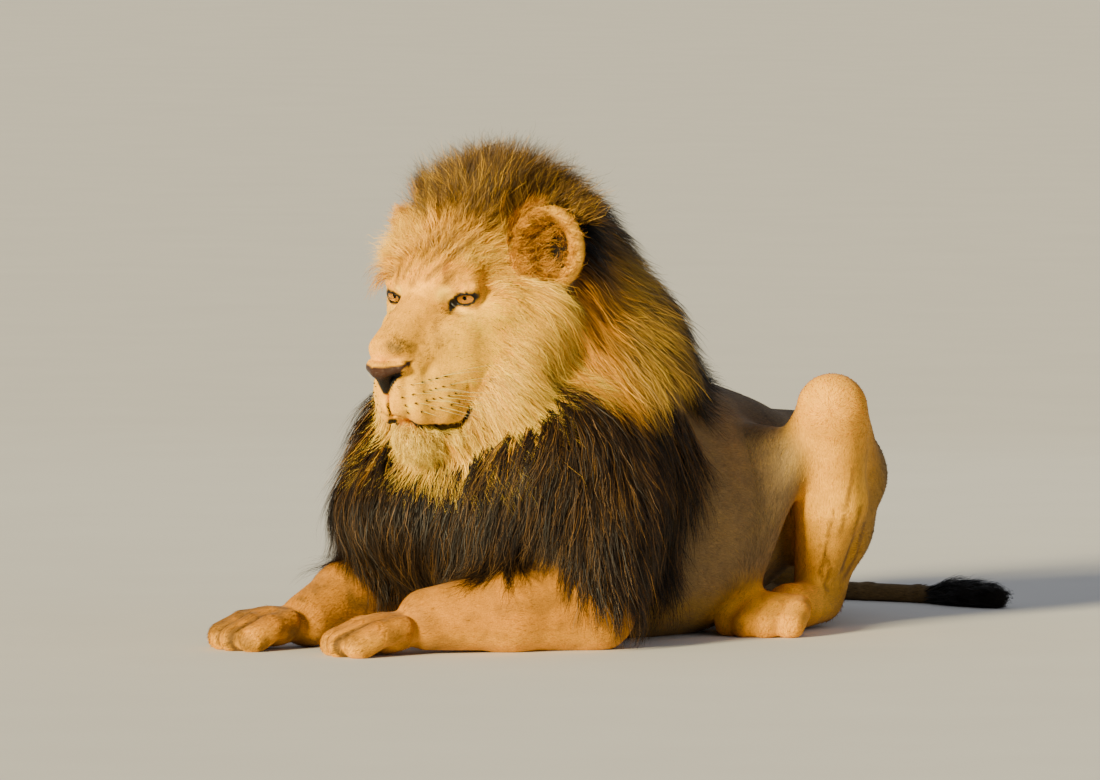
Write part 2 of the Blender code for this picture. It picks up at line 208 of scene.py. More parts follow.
def head_egg(c, r, axes=None):
    return Egg(hp(*c), np.array(r) * UNIT, H_AXES if axes is None else axes)


# --- trunk
for s in (1, -1):
    add("+", Egg((0, 0.20, 0.29), (0.205, 0.24, 0.225)), 0.02)
    add("+", Limb((s * 0.035, 0.26, 0.36), (s * 0.040, 0.60, 0.240), 0.150, 0.145), 0.05)
    add("+", Limb((s * 0.040, 0.60, 0.235), (s * 0.050, 0.83, 0.218), 0.148, 0.122), 0.05)
    add("+", Limb((s * 0.10, 0.42, 0.13), (s * 0.075, 0.62, 0.16), 0.122, 0.105), 0.05)
    add("+", Egg((s * 0.070, 0.825, 0.19), (0.105, 0.113, 0.138)), 0.05)
    add("+", Limb((s * 0.145, 0.20, 0.40), (s * 0.165, 0.03, 0.17), 0.085, 0.085), 0.05)
add("+", Egg((0, 0.36, 0.215), (0.245, 0.30, 0.205)), 0.05)
add("+", Egg((0, 0.30, 0.10), (0.225, 0.24, 0.115)), 0.05)
PART = "mane"
# --- undercoat mass of the mane over neck, shoulders and chest
INSET = 0.040
for c, r in (((0, 0.215, 0.435), (0.235, 0.245, 0.25)), ((0, 0.060, 0.605), (0.192, 0.130, 0.195)),
             ((0, 0.16, 0.585), (0.165, 0.18, 0.185)), ((0, 0.04, 0.31), (0.265, 0.20, 0.20)),
             ((-0.035, -0.045, 0.235), (0.225, 0.15, 0.14)), ((0.16, 0.21, 0.30), (0.11, 0.13, 0.16)),
             ((-0.16, 0.21, 0.30), (0.11, 0.13, 0.16))):
    add("+", Egg(c, np.array(r) - INSET), 0.05)
add("+", Limb((-0.20, -0.03, 0.15), (0.10, -0.09, 0.16), 0.030, 0.035), 0.04)
for s in (1, -1):
    add("+", Limb((s * 0.21, 0.06, 0.22), (s * 0.19, 0.02, 0.14), 0.055, 0.035), 0.04)
PART = "foreleg"
# --- left foreleg, turned in across the front
EL, ML, WL = np.array((0.205, 0.025, 0.072)), np.array((0.13, -0.10, 0.074)), np.array((0.050, -0.215, 0.062))
add("+", Limb((0.175, 0.11, 0.25), EL, 0.078, 0.068), 0.04)
add("+", Limb(EL, ML, 0.070, 0.066), 0.02)
add("+", Limb(ML, WL, 0.066, 0.050), 0.02)
# --- right foreleg, straight ahead
ER, MR, WR = np.array((-0.20, 0.055, 0.07)), np.array((-0.200, -0.085, 0.078)), np.array((-0.199, -0.204, 0.050))
add("+", Limb((-0.17, 0.12, 0.25), ER, 0.078, 0.068), 0.04)
add("+", Limb(ER, MR, 0.066, 0.060), 0.02)
add("+", Limb(MR, WR, 0.060, 0.044), 0.02)


def paw(w, ahead, length, width, toe, fan=0.29):
    w = np.array(w, float)
    d = np.array(ahead, float)
    d /= np.linalg.norm(d)
    side = np.array([-d[1], d[0], 0.0])
    tips = []
    add("+", Egg(w + d * length * 0.46 + np.array([0, 0, 0.042 - w[2]]), (width * 0.43, length * 0.34, 0.033), axes_from(d)), 0.014)
    for t in (-1.5, -0.5, 0.5, 1.5):
        a = w + d * length * 0.36 + side * (t * width * 0.20)
        a[2] = 0.052
        k = w + d * length * (0.72 if abs(t) < 1 else 0.62) + side * (t * width * fan * 0.93)
        k[2] = toe + 0.018
        b = w + d * length * (0.97 if abs(t) < 1 else 0.86) + side * (t * width * fan)
        b[2] = toe * 0.98
        add("+", Limb(a, k, toe * 0.78, toe * 0.88), 0.006)
        add("+", Limb(k, b, toe * 0.88, toe * 0.95), 0.003)
        tips.append((b, d))
    return tips


PART = "paw"
CLAWS = []
CLAWS += paw(WL, (-0.60, -0.80, 0), 0.155, 0.125, 0.0255)
CLAWS += paw(WR, (-0.45, -0.89, 0), 0.146, 0.125, 0.0255)
# --- hind legs
for s in (1, -1):
    PART = "hind"
    hip, knee, hock = np.array((s * 0.10, 0.785, 0.235)), np.array((s * 0.325, 0.545, 0.375)), np.array((s * 0.236, 0.628, 0.09))
    add("+", Limb(hip, (s * 0.23, 0.70, 0.255), 0.108, 0.077), 0.03)
    add("+", Limb((s * 0.105, 0.822, 0.17), (s * 0.208, 0.705, 0.170), 0.078, 0.066), 0.04)
    add("+", Limb((s * 0.23, 0.70, 0.255), knee, 0.077, 0.056), 0.03)
    add("+", Limb((s * 0.208, 0.705, 0.170), (s * 0.275, 0.63, 0.219), 0.066, 0.050), 0.03)
    add("+", Limb((s * 0.208, 0.705, 0.170), (s * 0.238, 0.665, 0.078), 0.064, 0.032), 0.03)
    add("+", Limb(knee, (s * 0.285, 0.60, 0.22), 0.051, 0.058), 0.018)
    add("+", Limb((s * 0.285, 0.60, 0.22), hock, 0.056, 0.035), 0.02)
    add("+", Limb((s * 0.232, 0.652, 0.048), (s * 0.255, 0.524, 0.046), 0.035, 0.040), 0.02)
    CLAWS += paw((s * 0.255, 0.530, 0.052), (s * 0.18, -0.984, 0), 0.150, 0.123, 0.0255)
    PART = "hind"
    # loose skin from the knee to the belly
    PART = "trunk"
    add("+", Limb((s * 0.218, 0.505, 0.300), (s * 0.176, 0.420, 0.105), 0.045, 0.060), 0.05)
    add("+", Limb((s * 0.285, 0.535, 0.340), (s * 0.200, 0.440, 0.090), 0.024, 0.034), 0.030)
PART = "tail"
# --- tail
TAIL = ((0, 0.93, 0.22, 0.045), (-0.02, 1.00, 0.10, 0.034), (-0.10, 1.04, 0.036, 0.026), (-0.20, 1.08, 0.023, 0.020),
        (-0.235, 1.14, 0.022, 0.018), (-0.16, 1.185, 0.021, 0.017), (-0.04, 1.20, 0.020, 0.0165), (0.06, 1.205, 0.020, 0.016),
        (0.14, 1.195, 0.020, 0.015), (0.22, 1.175, 0.021, 0.012))
for a, b in zip(TAIL[:-1], TAIL[1:]):
    add("+", Limb(a[:3], b[:3], a[3], b[3]), 0.008)
PART = "ruff"
# --- cheeks' long-haired ruff, under the hair
for s in (1, -1):
    add("+", Limb((s * 0.112, 0.0, 0.58), (s * 0.092, -0.055, 0.42), 0.034, 0.042), 0.03)
    add("+", Limb((s * 0.092, -0.055, 0.42), (s * 0.03, -0.115, 0.36), 0.042, 0.034), 0.03)
PART = "head"
# --- head
k = UNIT
add("+", head_egg((0, -10.5, 0.3), (8.4, 11.0, 8.4)), 2 * k)
add("+", head_egg((0, -3.2, 2.6), (6.3, 6.2, 4.2)), 3 * k)
add("+", head_limb((0, 0.3, 0.7), (0, 13.2, -3.8), 2.2, 2.2), 1.6 * k)
for s in (1, -1):
    add("+", head_limb((s * 1.9, 0.7, 2.0), (s * 6.2, -2.4, 2.2), 1.6, 1.2), 2.2 * k)
    add("+", head_limb((s * 1.3, 0.3, 0.5), (s * 1.5, 13.2, -4.1), 2.2, 2.15), 1.6 * k)
    add("+", head_limb((s * 3.9, 3.0, -4.2), (s * 2.0, 11.3, -7.2), 3.2, 2.55), 2.2 * k)
    add("+", head_limb((s * 6.2, 0.2, -4.6), (s * 9.0, -7.0, -3.4), 2.3, 3.4), 2.5 * k)
    add("+", head_egg((s * 5.0, -0.5, -10.0), (4.3, 8.2, 7.4)), 2.5 * k)
    add("+", head_egg((s * 7.2, -7.5, -10.5), (4.6, 7.4, 8.2)), 3 * k)
    add("+", head_limb((s * 5.6, -5.0, -17.8), (s * 3.2, 5.6, -19.4), 3.6, 2.8), 2.5 * k)
add("+", head_egg((0, 9.7, -19.5), (3.2, 3.7, 3.1)), 1.5 * k)
for s in (1, -1):
    add("+", head_egg((s * 1.3, 13.4, -11.3), (1.75, 3.1, 4.2)), 0.8 * k)
    add("+", head_egg((s * 2.3, 10.4, -12.5), (2.55, 4.5, 5.7), axes_from(H_FWD + 0.16 * s * H_LEFT, H_UP)), 0.8 * k)
    add("+", head_egg((s * 4.1, 7.0, -13.3), (2.9, 4.4, 6.2)), 1.5 * k)
# --- nose pad and nostrils
for s in (1, -1):
    add("+", head_limb((s * 2.5, 15.0, -6.5), (s * 0.6, 16.6, -6.5), 1.25, 1.35), 0.5 * k)
add("+", head_limb((0, 16.5, -7.0), (0, 16.3, -10.2), 1.3, 0.55), 0.5 * k)
for s in (1, -1):
    add("-", head_limb((s * 1.25, 17.9, -8.0), (s * 2.1, 15.6, -7.5), 0.52, 0.62), 0.25 * k)
    add("-", head_limb((s * 2.2, 16.3, -7.5), (s * 4.2, 14.2, -6.9), 0.50, 0.24), 0.25 * k)
add("+", head_egg((0, 13.0, -12.8), (2.3, 3.7, 2.8)), 0.6 * k)
# --- lip cleft and mouth: slits cut from the surface inward
MOUTH = ((0, 16.0, -14.3), (1.5, 15.6, -15.2), (2.8, 13.9, -17.0), (3.6, 11.2, -18.3), (5.0, 7.4, -19.5), (5.7, 6.1, -19.4), (6.4, 5.1, -18.2), (7.2, 4.0, -16.5), (8.0, 1.2, -14.5))
MOUTH_R = (0.24, 0.28, 0.38, 0.80, 1.10, 0.85, 0.34, 0.20, 0.10)


def along(pts, rad, n):
    t = np.linspace(0, len(pts) - 1, n)
    P = np.stack([np.interp(t, range(len(pts)), [q[i] for q in pts]) for i in range(3)], 1)
    return P, np.interp(t, range(len(pts)), rad)


for s in (1, -1):
    P_, R_ = along(MOUTH, MOUTH_R, 26)
    for (x, y, z), r in zip(P_, R_):
        o = np.array((x * 0.9, max(y - 5.0, 0) * 0.55, 0.0)) + (0, 1e-3, 0)
        o = o / np.linalg.norm(o)
        a, b = np.array((x, y, z)) - o * (1.1 + r), np.array((x, y, z)) + o * 2.2
        add("-", head_limb((s * a[0], a[1], a[2]), (s * b[0], b[1], b[2]), r * 0.8, r), 0.25 * k)
for z in np.linspace(-10.6, -14.3, 9):
    add("-", head_limb((0, 15.2, z), (0, 19.0, z), 0.16, 0.26), 0.35 * k)
# crease behind the whisker pad
for s in (1, -1):
    add("-", head_limb((s * 7.0, 4.9, -10.0), (s * 7.6, 4.6, -14.5), 0.12, 0.15), 0.7 * k)
# --- eyes: ball, socket, lids
EYE_C, EYE_R = (6.35, -1.05, 0.0), 1.95
EYE_FRAME = {}
for s in (1, -1):
    look = H_FWD * 0.93 + H_LEFT * s * 0.36 - H_UP * 0.02
    look = look / np.linalg.norm(look)
    c = hp(s * EYE_C[0], EYE_C[1], EYE_C[2])
    A = axes_from(look, H_UP)
    out = A[0] if (A[0] @ H_LEFT) * s > 0 else -A[0]          # across the eye, away from the nose
    EYE_FRAME[s] = (c, look, A, out)
    add("-", Egg(c + look * 2.6 * UNIT, np.array((2.6, 1.3, 1.6)) * UNIT, A), 1.4 * k)
    add("+", Egg(c, np.array((2.25, 2.25, 2.2)) * UNIT), 0.9 * k)
    # brow above the lid
    add("+", Limb(c + look * 1.2 * UNIT + A[2] * 1.95 * UNIT - out * 2.0 * UNIT, c + look * 0.8 * UNIT + A[2] * 1.9 * UNIT + out * 1.6 * UNIT, 0.6 * UNIT, 0.4 * UNIT), 1.2 * k)
    # the opening: round towards the nose, drawn out to a point behind, and the tear duct in front
    f = 2.05 * UNIT
    add("-", Egg(c + look * f - out * 0.05 * UNIT - A[2] * 0.11 * UNIT, np.array((1.46, 2.3, 0.80)) * UNIT, A), 0.12 * k)
    add("-", Limb(c + look * f + out * 0.5 * UNIT, c + look * f * 0.90 + out * 2.15 * UNIT + A[2] * 0.05 * UNIT, 0.50 * UNIT, 0.10 * UNIT), 0.15 * k)
    add("-", Limb(c + look * f - out * 0.9 * UNIT - A[2] * 0.1 * UNIT, c + look * f * 1.0 - out * 2.2 * UNIT - A[2] * 0.75 * UNIT, 0.50 * UNIT, 0.16 * UNIT), 0.15 * k)
PART = "ear"
# --- ears: the left one turned to the side, the right one laid back in the mane
EARS = {1: ((13.4, -15.4, 3.2), (5.2, 8.2, 0.6), (5.8, 2.9, 7.0)), -1: ((-13.2, -16.6, 1.9), (-8.0, 5.2, -0.2), (5.6, 2.9, 6.6))}
EAR_FRAME = {}
for s in (1, -1):
    ec, el, er = EARS[s]
    c = hp(*ec)
    look = hp(ec[0] + el[0], ec[1] + el[1], ec[2] + el[2]) - c
    A = axes_from(look, H_UP)
    EAR_FRAME[s] = (c, A, np.array(er) * UNIT)
    add("+", Limb(hp(s * 8.0, -14.0, 0.0), c - H_UP * 1.5 * UNIT, 3.2 * UNIT, 3.0 * UNIT), 1.5 * k)
    add("+", Egg(c, np.array(er) * UNIT, A), 0.8 * k)
    add("-", Egg(c + A[1] * 2.3 * UNIT + A[2] * 0.35 * UNIT, np.array((er[0] - 1.25, 3.5, er[2] - 1.25)) * UNIT, A), 0.8 * k)
    add("-", Egg(c + A[1] * 0.2 * UNIT - A[2] * 1.6 * UNIT - A[0] * 0.5 * s * UNIT, np.array((2.0, 2.4, 2.6)) * UNIT, A), 0.8 * k)
c, A, er = EAR_FRAME[1]
add("-", Limb(c + A[2] * 6.3 * UNIT + A[0] * -1.3 * UNIT - A[1] * 3 * UNIT, c + A[2] * 6.6 * UNIT + A[0] * -1.3 * UNIT + A[1] * 3 * UNIT, 0.25 * UNIT, 0.25 * UNIT), 0.2 * k)


def graded(lo, hi, fine_lo, fine_hi, coarse, fine):
    """axis coordinates, fine inside one stretch and coarse outside"""
    a = np.arange(lo, fine_lo, coarse)
    b = np.arange(fine_lo, fine_hi, fine)
    c = np.arange(fine_hi, hi + coarse, coarse)
    return np.concatenate([a, b, c]).astype(np.float32)


def skin_mesh(coarse=0.0065, fine=0.0025):
    ax = [graded(-0.42, 0.42, -0.175, 0.175, coarse, fine),
          graded(-0.46, 1.27, -0.36, 0.07, coarse, fine),
          graded(-0.02, 0.84, 0.33, 0.70, coarse, fine)]
    G = evaluate(SHAPES, ax)
    G = np.maximum(G, (0.006 - ax[2])[None, None, :])
    return surface(G, ax)


# ------------------------------------------------------------------ helpers
def lin(h):
    """hex sRGB to linear"""
    c = np.array([int(h[i:i + 2], 16) / 255 for i in (1, 3, 5)])
    return np.where(c <= 0.04045, c / 12.92, ((c + 0.055) / 1.055) ** 2.4)


def step(x, a, b):
    """0 at a, 1 at b, smooth between"""
    t = np.clip((x - a) / (b - a), 0, 1)
    return t * t * (3 - 2 * t)


def unit(v):
    return v / np.maximum(np.linalg.norm(v, axis=-1, keepdims=True), 1e-9)


def mix(a, b, t):
    return a + (b - a) * np.asarray(t)[..., None]


def warm(C):
    """pale coat is a deep yellow, not white"""
    C = np.clip(np.asarray(C, float), 0.0005, 1)
    k = step(C[:, 0], 0.08, 0.45) * step(C[:, 0] - C[:, 2], 0.05, 0.20)
    return C * np.stack([1 + 0.04 * k, 1 - 0.02 * k, 1 - 0.62 * k], 1)


def make_mesh(name, V, T, uv=None, colour=None, extra=None, smooth=True, shift=True):
    """a mesh object of triangles T over points V (sculpt frame), in one go"""
    me = bpy.data.meshes.new(name)
    V = np.asarray(V, np.float32) + (SHIFT.astype(np.float32) if shift else 0)
    T = np.asarray(T, np.int32)
    me.vertices.add(len(V))
    me.vertices.foreach_set("co", V.ravel())
    me.loops.add(T.size)
    me.loops.foreach_set("vertex_index", T.ravel())
    me.polygons.add(len(T))
    me.polygons.foreach_set("loop_start", np.arange(0, T.size, T.shape[1], dtype=np.int32))
    me.polygons.foreach_set("use_smooth", np.full(len(T), smooth))
    if uv is not None:
        layer = me.uv_layers.new(name="OFBake")
        layer.uv.foreach_set("vector", np.asarray(uv, np.float32)[T.ravel()].ravel())
    if colour is not None:
        a = me.color_attributes.new("Col", "FLOAT_COLOR", "POINT")
        a.data.foreach_set("color", np.concatenate([colour, np.ones((len(colour), 1))], 1).astype(np.float32).ravel())
    for key, val in (extra or {}).items():
        if val.ndim == 1:
            me.attributes.new(key, "FLOAT", "POINT").data.foreach_set("value", val.astype(np.float32))
        else:
            me.attributes.new(key, "FLOAT_VECTOR", "POINT").data.foreach_set("vector", val.astype(np.float32).ravel())
    me.update(calc_edges=True)
    me.validate()
    ob = bpy.data.objects.new(name, me)
    bpy.context.scene.collection.objects.link(ob)
    return ob


class Nodes:
    """short way to write a node tree"""
    def __init__(s, name):
        s.mat = bpy.data.materials.new(name)
        s.mat.use_nodes = True
        s.t = s.mat.node_tree
        s.t.nodes.clear()
        s.out = s.t.nodes.new("ShaderNodeOutputMaterial")
        s.bsdf = s.t.nodes.new("ShaderNodeBsdfPrincipled")
        s.link(s.bsdf.outputs[0], s.out.inputs[0])

    def link(s, a, b):
        s.t.links.new(a, b)

    def put(s, sock, v):
        if isinstance(v, bpy.types.NodeSocket):
            s.link(v, sock)
        else:
            sock.default_value = v

    def node(s, kind, out=0, props=None, **ins):
        n = s.t.nodes.new(kind)
        for k, v in (props or {}).items():
            setattr(n, k, v)
        for k, v in ins.items():
            s.put(n.inputs[int(k[1:])] if k[0] == "i" and k[1:].isdigit() else n.inputs[k.replace("_", " ")], v)
        return n.outputs[out]

    def set(s, **ins):
        for k, v in ins.items():
            s.put(s.bsdf.inputs[k.replace("_", " ")], v)

    def attr(s, name, out="Color"):
        n = s.t.nodes.new("ShaderNodeAttribute")
        n.attribute_name = name
        return n.outputs[out]

    def math(s, op, a, b=0.5, c=None):
        n = s.t.nodes.new("ShaderNodeMath")
        n.operation = op
        s.put(n.inputs[0], a)
        s.put(n.inputs[1], b)
        if c is not None:
            s.put(n.inputs[2], c)
        return n.outputs[0]

    def noise(s, vec, scale, detail=3.0, rough=0.55):
        return s.node("ShaderNodeTexNoise", Vector=vec, Scale=scale, Detail=detail, Roughness=rough)

    def stretch(s, vec, sc):
        return s.node("ShaderNodeMapping", Vector=vec, Scale=sc)

    def ramp(s, fac, stops):
        n = s.t.nodes.new("ShaderNodeValToRGB")
        el = n.color_ramp.elements
        while len(el) < len(stops):
            el.new(0.5)
        for e, (p, c) in zip(el, stops):
            e.position = p
            e.color = (*c, 1) if len(c) == 3 else c
        s.link(fac, n.inputs[0])
        return n.outputs[0]

    def mul(s, a, b, fac=1.0):
        n = s.t.nodes.new("ShaderNodeMix")
        n.data_type = "RGBA"
        n.blend_type = "MULTIPLY"
        n.inputs[0].default_value = fac
        s.put(n.inputs[6], a)
        s.put(n.inputs[7], b)
        return n.outputs[2]

    def blendc(s, fac, a, b):
        n = s.t.nodes.new("ShaderNodeMix")
        n.data_type = "RGBA"
        s.put(n.inputs[0], fac)
        s.put(n.inputs[6], a)
        s.put(n.inputs[7], b)
        return n.outputs[2]


# ------------------------------------------------------------------ the skin
V, Q = skin_mesh(0.0065, 0.0025)
T = np.concatenate([Q[:, [0, 1, 2]], Q[:, [0, 2, 3]]])
skin = make_mesh("skin", V, T)
dec = skin.modifiers.new("dec", "DECIMATE")
dec.ratio = min(1.0, 188000 / len(T))
deps = bpy.context.evaluated_depsgraph_get()
me = bpy.data.meshes.new_from_object(skin.evaluated_get(deps))
bpy.data.objects.remove(skin)
V = np.empty(len(me.vertices) * 3, np.float32)
me.vertices.foreach_get("co", V)
V = V.reshape(-1, 3).astype(float) - SHIFT
me.calc_loop_triangles()
T = np.empty(len(me.loop_triangles) * 3, np.int32)
me.loop_triangles.foreach_get("vertices", T)
T = T.reshape(-1, 3)
bpy.data.meshes.remove(me)

# a coarse field of distance and direction outward, good to about 10 cm off the skin
FAX = [np.arange(-0.50, 0.50, 0.012, np.float32), np.arange(-0.55, 1.35, 0.012, np.float32), np.arange(-0.06, 0.95, 0.012, np.float32)]
FIELD = evaluate(SHAPES, FAX, 0.11)
FGRAD = np.stack(np.gradient(FIELD, 0.012), -1)
F0 = np.array([a[0] for a in FAX])


def field(P):
    """distance from the skin and unit normal at points P"""
    g = (P - F0) / 0.012
    n = np.array(FIELD.shape) - 2
    i = np.clip(np.floor(g).astype(int), 0, n)
    f = np.clip(g - i, 0, 1)
    d, G = 0, 0
    for a in (0, 1):
        for b in (0, 1):
            for c in (0, 1):
                w = (f[:, 0] if a else 1 - f[:, 0]) * (f[:, 1] if b else 1 - f[:, 1]) * (f[:, 2] if c else 1 - f[:, 2])
                q = (i[:, 0] + a, i[:, 1] + b, i[:, 2] + c)
                d = d + w * FIELD[q]
                G = G + w[:, None] * FGRAD[q]
    return d, unit(G)


def vertex_normals(V, T):
    n = np.cross(V[T[:, 1]] - V[T[:, 0]], V[T[:, 2]] - V[T[:, 0]])
    N = np.zeros_like(V)
    for j in range(3):
        for c in range(3):
            N[:, c] += np.bincount(T[:, j], n[:, c], len(V))
    return unit(N)


NV = vertex_normals(V, T)
# part weights and the lie of the coat, from the shapes the skin is blended of
PARTS = ["trunk", "mane", "foreleg", "paw", "hind", "tail", "ruff", "head", "ear"]
W = np.zeros((len(V), len(PARTS)))
FLOW = np.zeros((len(V), 3))
for (op, p, k_), (part, flow) in zip(SHAPES, LABEL):
    if op != "+":
        continue
    lo, hi = p.bounds(0.05)
    m = np.all((V > lo) & (V < hi), 1)
    if not m.any():
        continue
    v = V[m]
    w = np.exp(-np.clip(p.dist(v[:, 0], v[:, 1], v[:, 2]), 0, None) / 0.010)
    W[m, PARTS.index(part)] += w
    FLOW[m] += w[:, None] * (flow if flow is not None else np.array((0, 0.85, -0.3)))
W /= np.maximum(W.sum(1, keepdims=True), 1e-9)

# ------------------------------------------------------------------ where the long hair grows and which way it lies
MANE_EGGS = [((0, 0.215, 0.435), (0.235, 0.245, 0.25)), ((0, 0.055, 0.622), (0.200, 0.14, 0.210)),
             ((0, 0.16, 0.585), (0.165, 0.18, 0.185)), ((0, 0.04, 0.31), (0.265, 0.20, 0.20)),
             ((-0.035, -0.045, 0.235), (0.225, 0.15, 0.14)), ((0.16, 0.21, 0.30), (0.11, 0.13, 0.16)),
             ((-0.16, 0.21, 0.30), (0.11, 0.13, 0.16))]
MANE_OUT = [Egg(c, r) for c, r in MANE_EGGS] + [Limb((-0.20, -0.03, 0.15), (0.10, -0.09, 0.16), 0.055, 0.06)]
for s in (1, -1):
    MANE_OUT.append(Limb((s * 0.21, 0.06, 0.22), (s * 0.19, 0.02, 0.14), 0.085, 0.06))


def mane_depth(P):
    """how far inside the mane's outline a point lies"""
    return -np.min([p.dist(P[:, 0], P[:, 1], P[:, 2]) for p in MANE_OUT], axis=0)


def mirrored(rows):
    out = []
    for p, d in rows:
        out.append((p, d))
        if p[0] != 0:
            out.append(((-p[0], p[1], p[2]), (-d[0], d[1], d[2])))
    return np.array([r[0] for r in out], float), unit(np.array([r[1] for r in out], float))


# the mane: place and direction, sculpt frame, for both sides
MANE_P, MANE_D = mirrored([
    ((0, -0.01, 0.79), (0, -0.02, 1)), ((0.05, -0.02, 0.76), (0.30, 0.02, 1)), ((0, 0.08, 0.82), (0, 0.75, 0.55)), ((0.10, 0.06, 0.77), (0.5, 0.45, 0.5)),
    ((0, 0.20, 0.76), (0, 1, -0.05)), ((0.12, 0.12, 0.72), (0.25, 0.8, -0.45)), ((0, 0.36, 0.62), (0, 1, -0.5)),
    ((0.15, 0.05, 0.62), (0.20, 0.60, -0.85)), ((0.17, 0.16, 0.60), (0.12, 0.75, -0.75)), ((0.14, 0.30, 0.58), (0.05, 0.85, -0.6)),
    ((0, 0.46, 0.45), (0, 1, -0.35)), ((0.18, 0.38, 0.44), (0.05, 0.9, -0.55)), ((0.22, 0.28, 0.44), (0.02, 0.62, -0.85)),
    ((0.20, 0.14, 0.46), (0.02, 0.42, -1)), ((0.20, 0.03, 0.44), (0, 0.20, -1)), ((0.24, 0.16, 0.32), (0.04, 0.22, -1)),
    ((0.22, 0.34, 0.30), (0.02, 0.45, -1)), ((0.22, 0.05, 0.28), (-0.05, -0.10, -1)), ((0.17, -0.08, 0.30), (-0.22, -0.25, -1)),
    ((0, -0.16, 0.30), (-0.10, -0.25, -1)), ((0, -0.19, 0.20), (-0.10, -0.35, -1)), ((0.15, -0.13, 0.18), (-0.12, -0.30, -1)),
    ((0.23, 0.22, 0.18), (0.03, 0.15, -1)), ((0.26, 0.08, 0.20), (0.03, 0.25, -1)), ((0.22, 0.18, 0.12), (0.02, 0.25, -1))])
# the head, in head units
FACE_P, FACE_D = mirrored([
    ((0, 15, -4), (0, -1, 0.3)), ((1.5, 4, 0), (0.25, -1, 0.45)), ((1.6, -2, 5), (0.22, -0.7, 0.9)), ((4.0, -3, 5), (0.7, -0.7, 0.8)), ((0, -8, 9), (0, -0.5, 1.0)),
    ((5, -6, 7), (0.65, -0.6, 0.8)), ((8, -7, 5), (1.0, -0.6, 0.35)), ((6, 1, 3), (0.5, -0.7, 0.6)), ((9, -3, 1), (0.4, -0.9, -0.45)), ((5, 3, -4), (0.4, -1, -0.25)),
    ((3, 12, -10), (0.6, -0.9, -0.3)), ((5, 8, -14), (0.5, -0.8, -0.6)), ((9, -4, -6), (0.25, -0.62, -0.9)), ((10, -9, -5), (0.2, -0.45, -1)),
    ((11, -12, -1), (0.3, -0.5, -1.0)), ((9, -2, -13), (0.25, -0.6, -1)), ((9, -9, -14), (0.2, -0.4, -1)), ((0, 11, -21), (0, 0.15, -1)),
    ((3, 13, -19), (0.3, 0.2, -1)), ((5, 5, -20), (0.25, -0.2, -1)), ((6, -4, -20), (0.1, -0.2, -1)), ((9, -14, -14), (0.1, -0.3, -1))])


def blend_dirs(P, places, dirs, eps, power=2.0):
    d2 = ((P[:, None] - places[None]) ** 2).sum(-1) + eps * eps
    w = d2 ** -power
    return unit((w[:, :, None] * dirs[None]).sum(1))


def spot_(H, c, r):
    d = np.sqrt((((H - np.array(c)) / np.array(r)) ** 2).sum(-1))
    return 1 - step(d, 0.4, 1.15)


def mane_flow(P):
    return blend_dirs(P, MANE_P, MANE_D, 0.04)


def face_flow(P):
    return blend_dirs(to_head(P), FACE_P, FACE_D, 2.0) @ H_AXES


iP = {n: i for i, n in enumerate(PARTS)}
HD = W[:, iP["head"]] + W[:, iP["ruff"]]
EARW = W[:, iP["ear"]]
HV = to_head(V)
AX, HY, HZ = np.abs(HV[:, 0]), HV[:, 1], HV[:, 2]
# how far back on the head: the face's short coat gives way to the long
FACE_LEN = 0.006 + 0.004 * step(HY, 10, 2)
FACE_LEN = FACE_LEN + 0.014 * step(HY, -1, -6) * step(AX, 4, 8)
FACE_LEN = FACE_LEN + 0.070 * step(HY, -4.5, -10) * step(AX, 6.5, 9.5) * step(HZ, 5.0, 1.0)
FACE_LEN = FACE_LEN + 0.050 * step(HY, -1.5, -7.0) * step(HZ, -12, -17) * step(AX, 3.5, 6)
FACE_LEN = FACE_LEN + 0.034 * spot_(np.abs(HV) * (1, 0, 0) + HV * (0, 1, 1), (0, 11.0, -20.6), (4.3, 4.9, 2.9))
FACE_LEN = FACE_LEN + 0.045 * step(HZ, -19.5, -22.5) * step(HY, 15, 9)
FACE_LEN = FACE_LEN + 0.075 * step(HZ, -17, -22) * step(HY, 9, 2)
FACE_LEN = FACE_LEN + 0.020 * step(HY, 1.0, -3.5) * step(HZ, 2.6, 5.0)
FACE_LEN = FACE_LEN + 0.045 * step(HY, -4.0, -10.0) * step(HZ, 4.0, 8.0)
FACE_LEN = FACE_LEN + 0.085 * W[:, iP["ruff"]]
LONG = step(FACE_LEN, 0.018, 0.032)
MANEW = step(mane_depth(V), 0.012, 0.034) * (1 - step(HD, 0.35, 0.75)) * (1 - step(EARW, 0.1, 0.5)) * (1 - W[:, iP["paw"]])
SHOULDER = step(V[:, 2], 0.105, 0.14) * step(V[:, 1], -0.06, 0.0) * step(V[:, 1], 0.27, 0.20) * step(V[:, 2], 0.42, 0.36) * step(np.abs(V[:, 0]), 0.10, 0.15)
MANEW = np.maximum(MANEW, SHOULDER * (1 - step(HD, 0.35, 0.75)))
MANEW *= 1 - step(W[:, iP["foreleg"]], 0.3, 0.8) * step(V[:, 2], 0.135, 0.10)
COAT = np.clip(1 - MANEW, 0, 1)

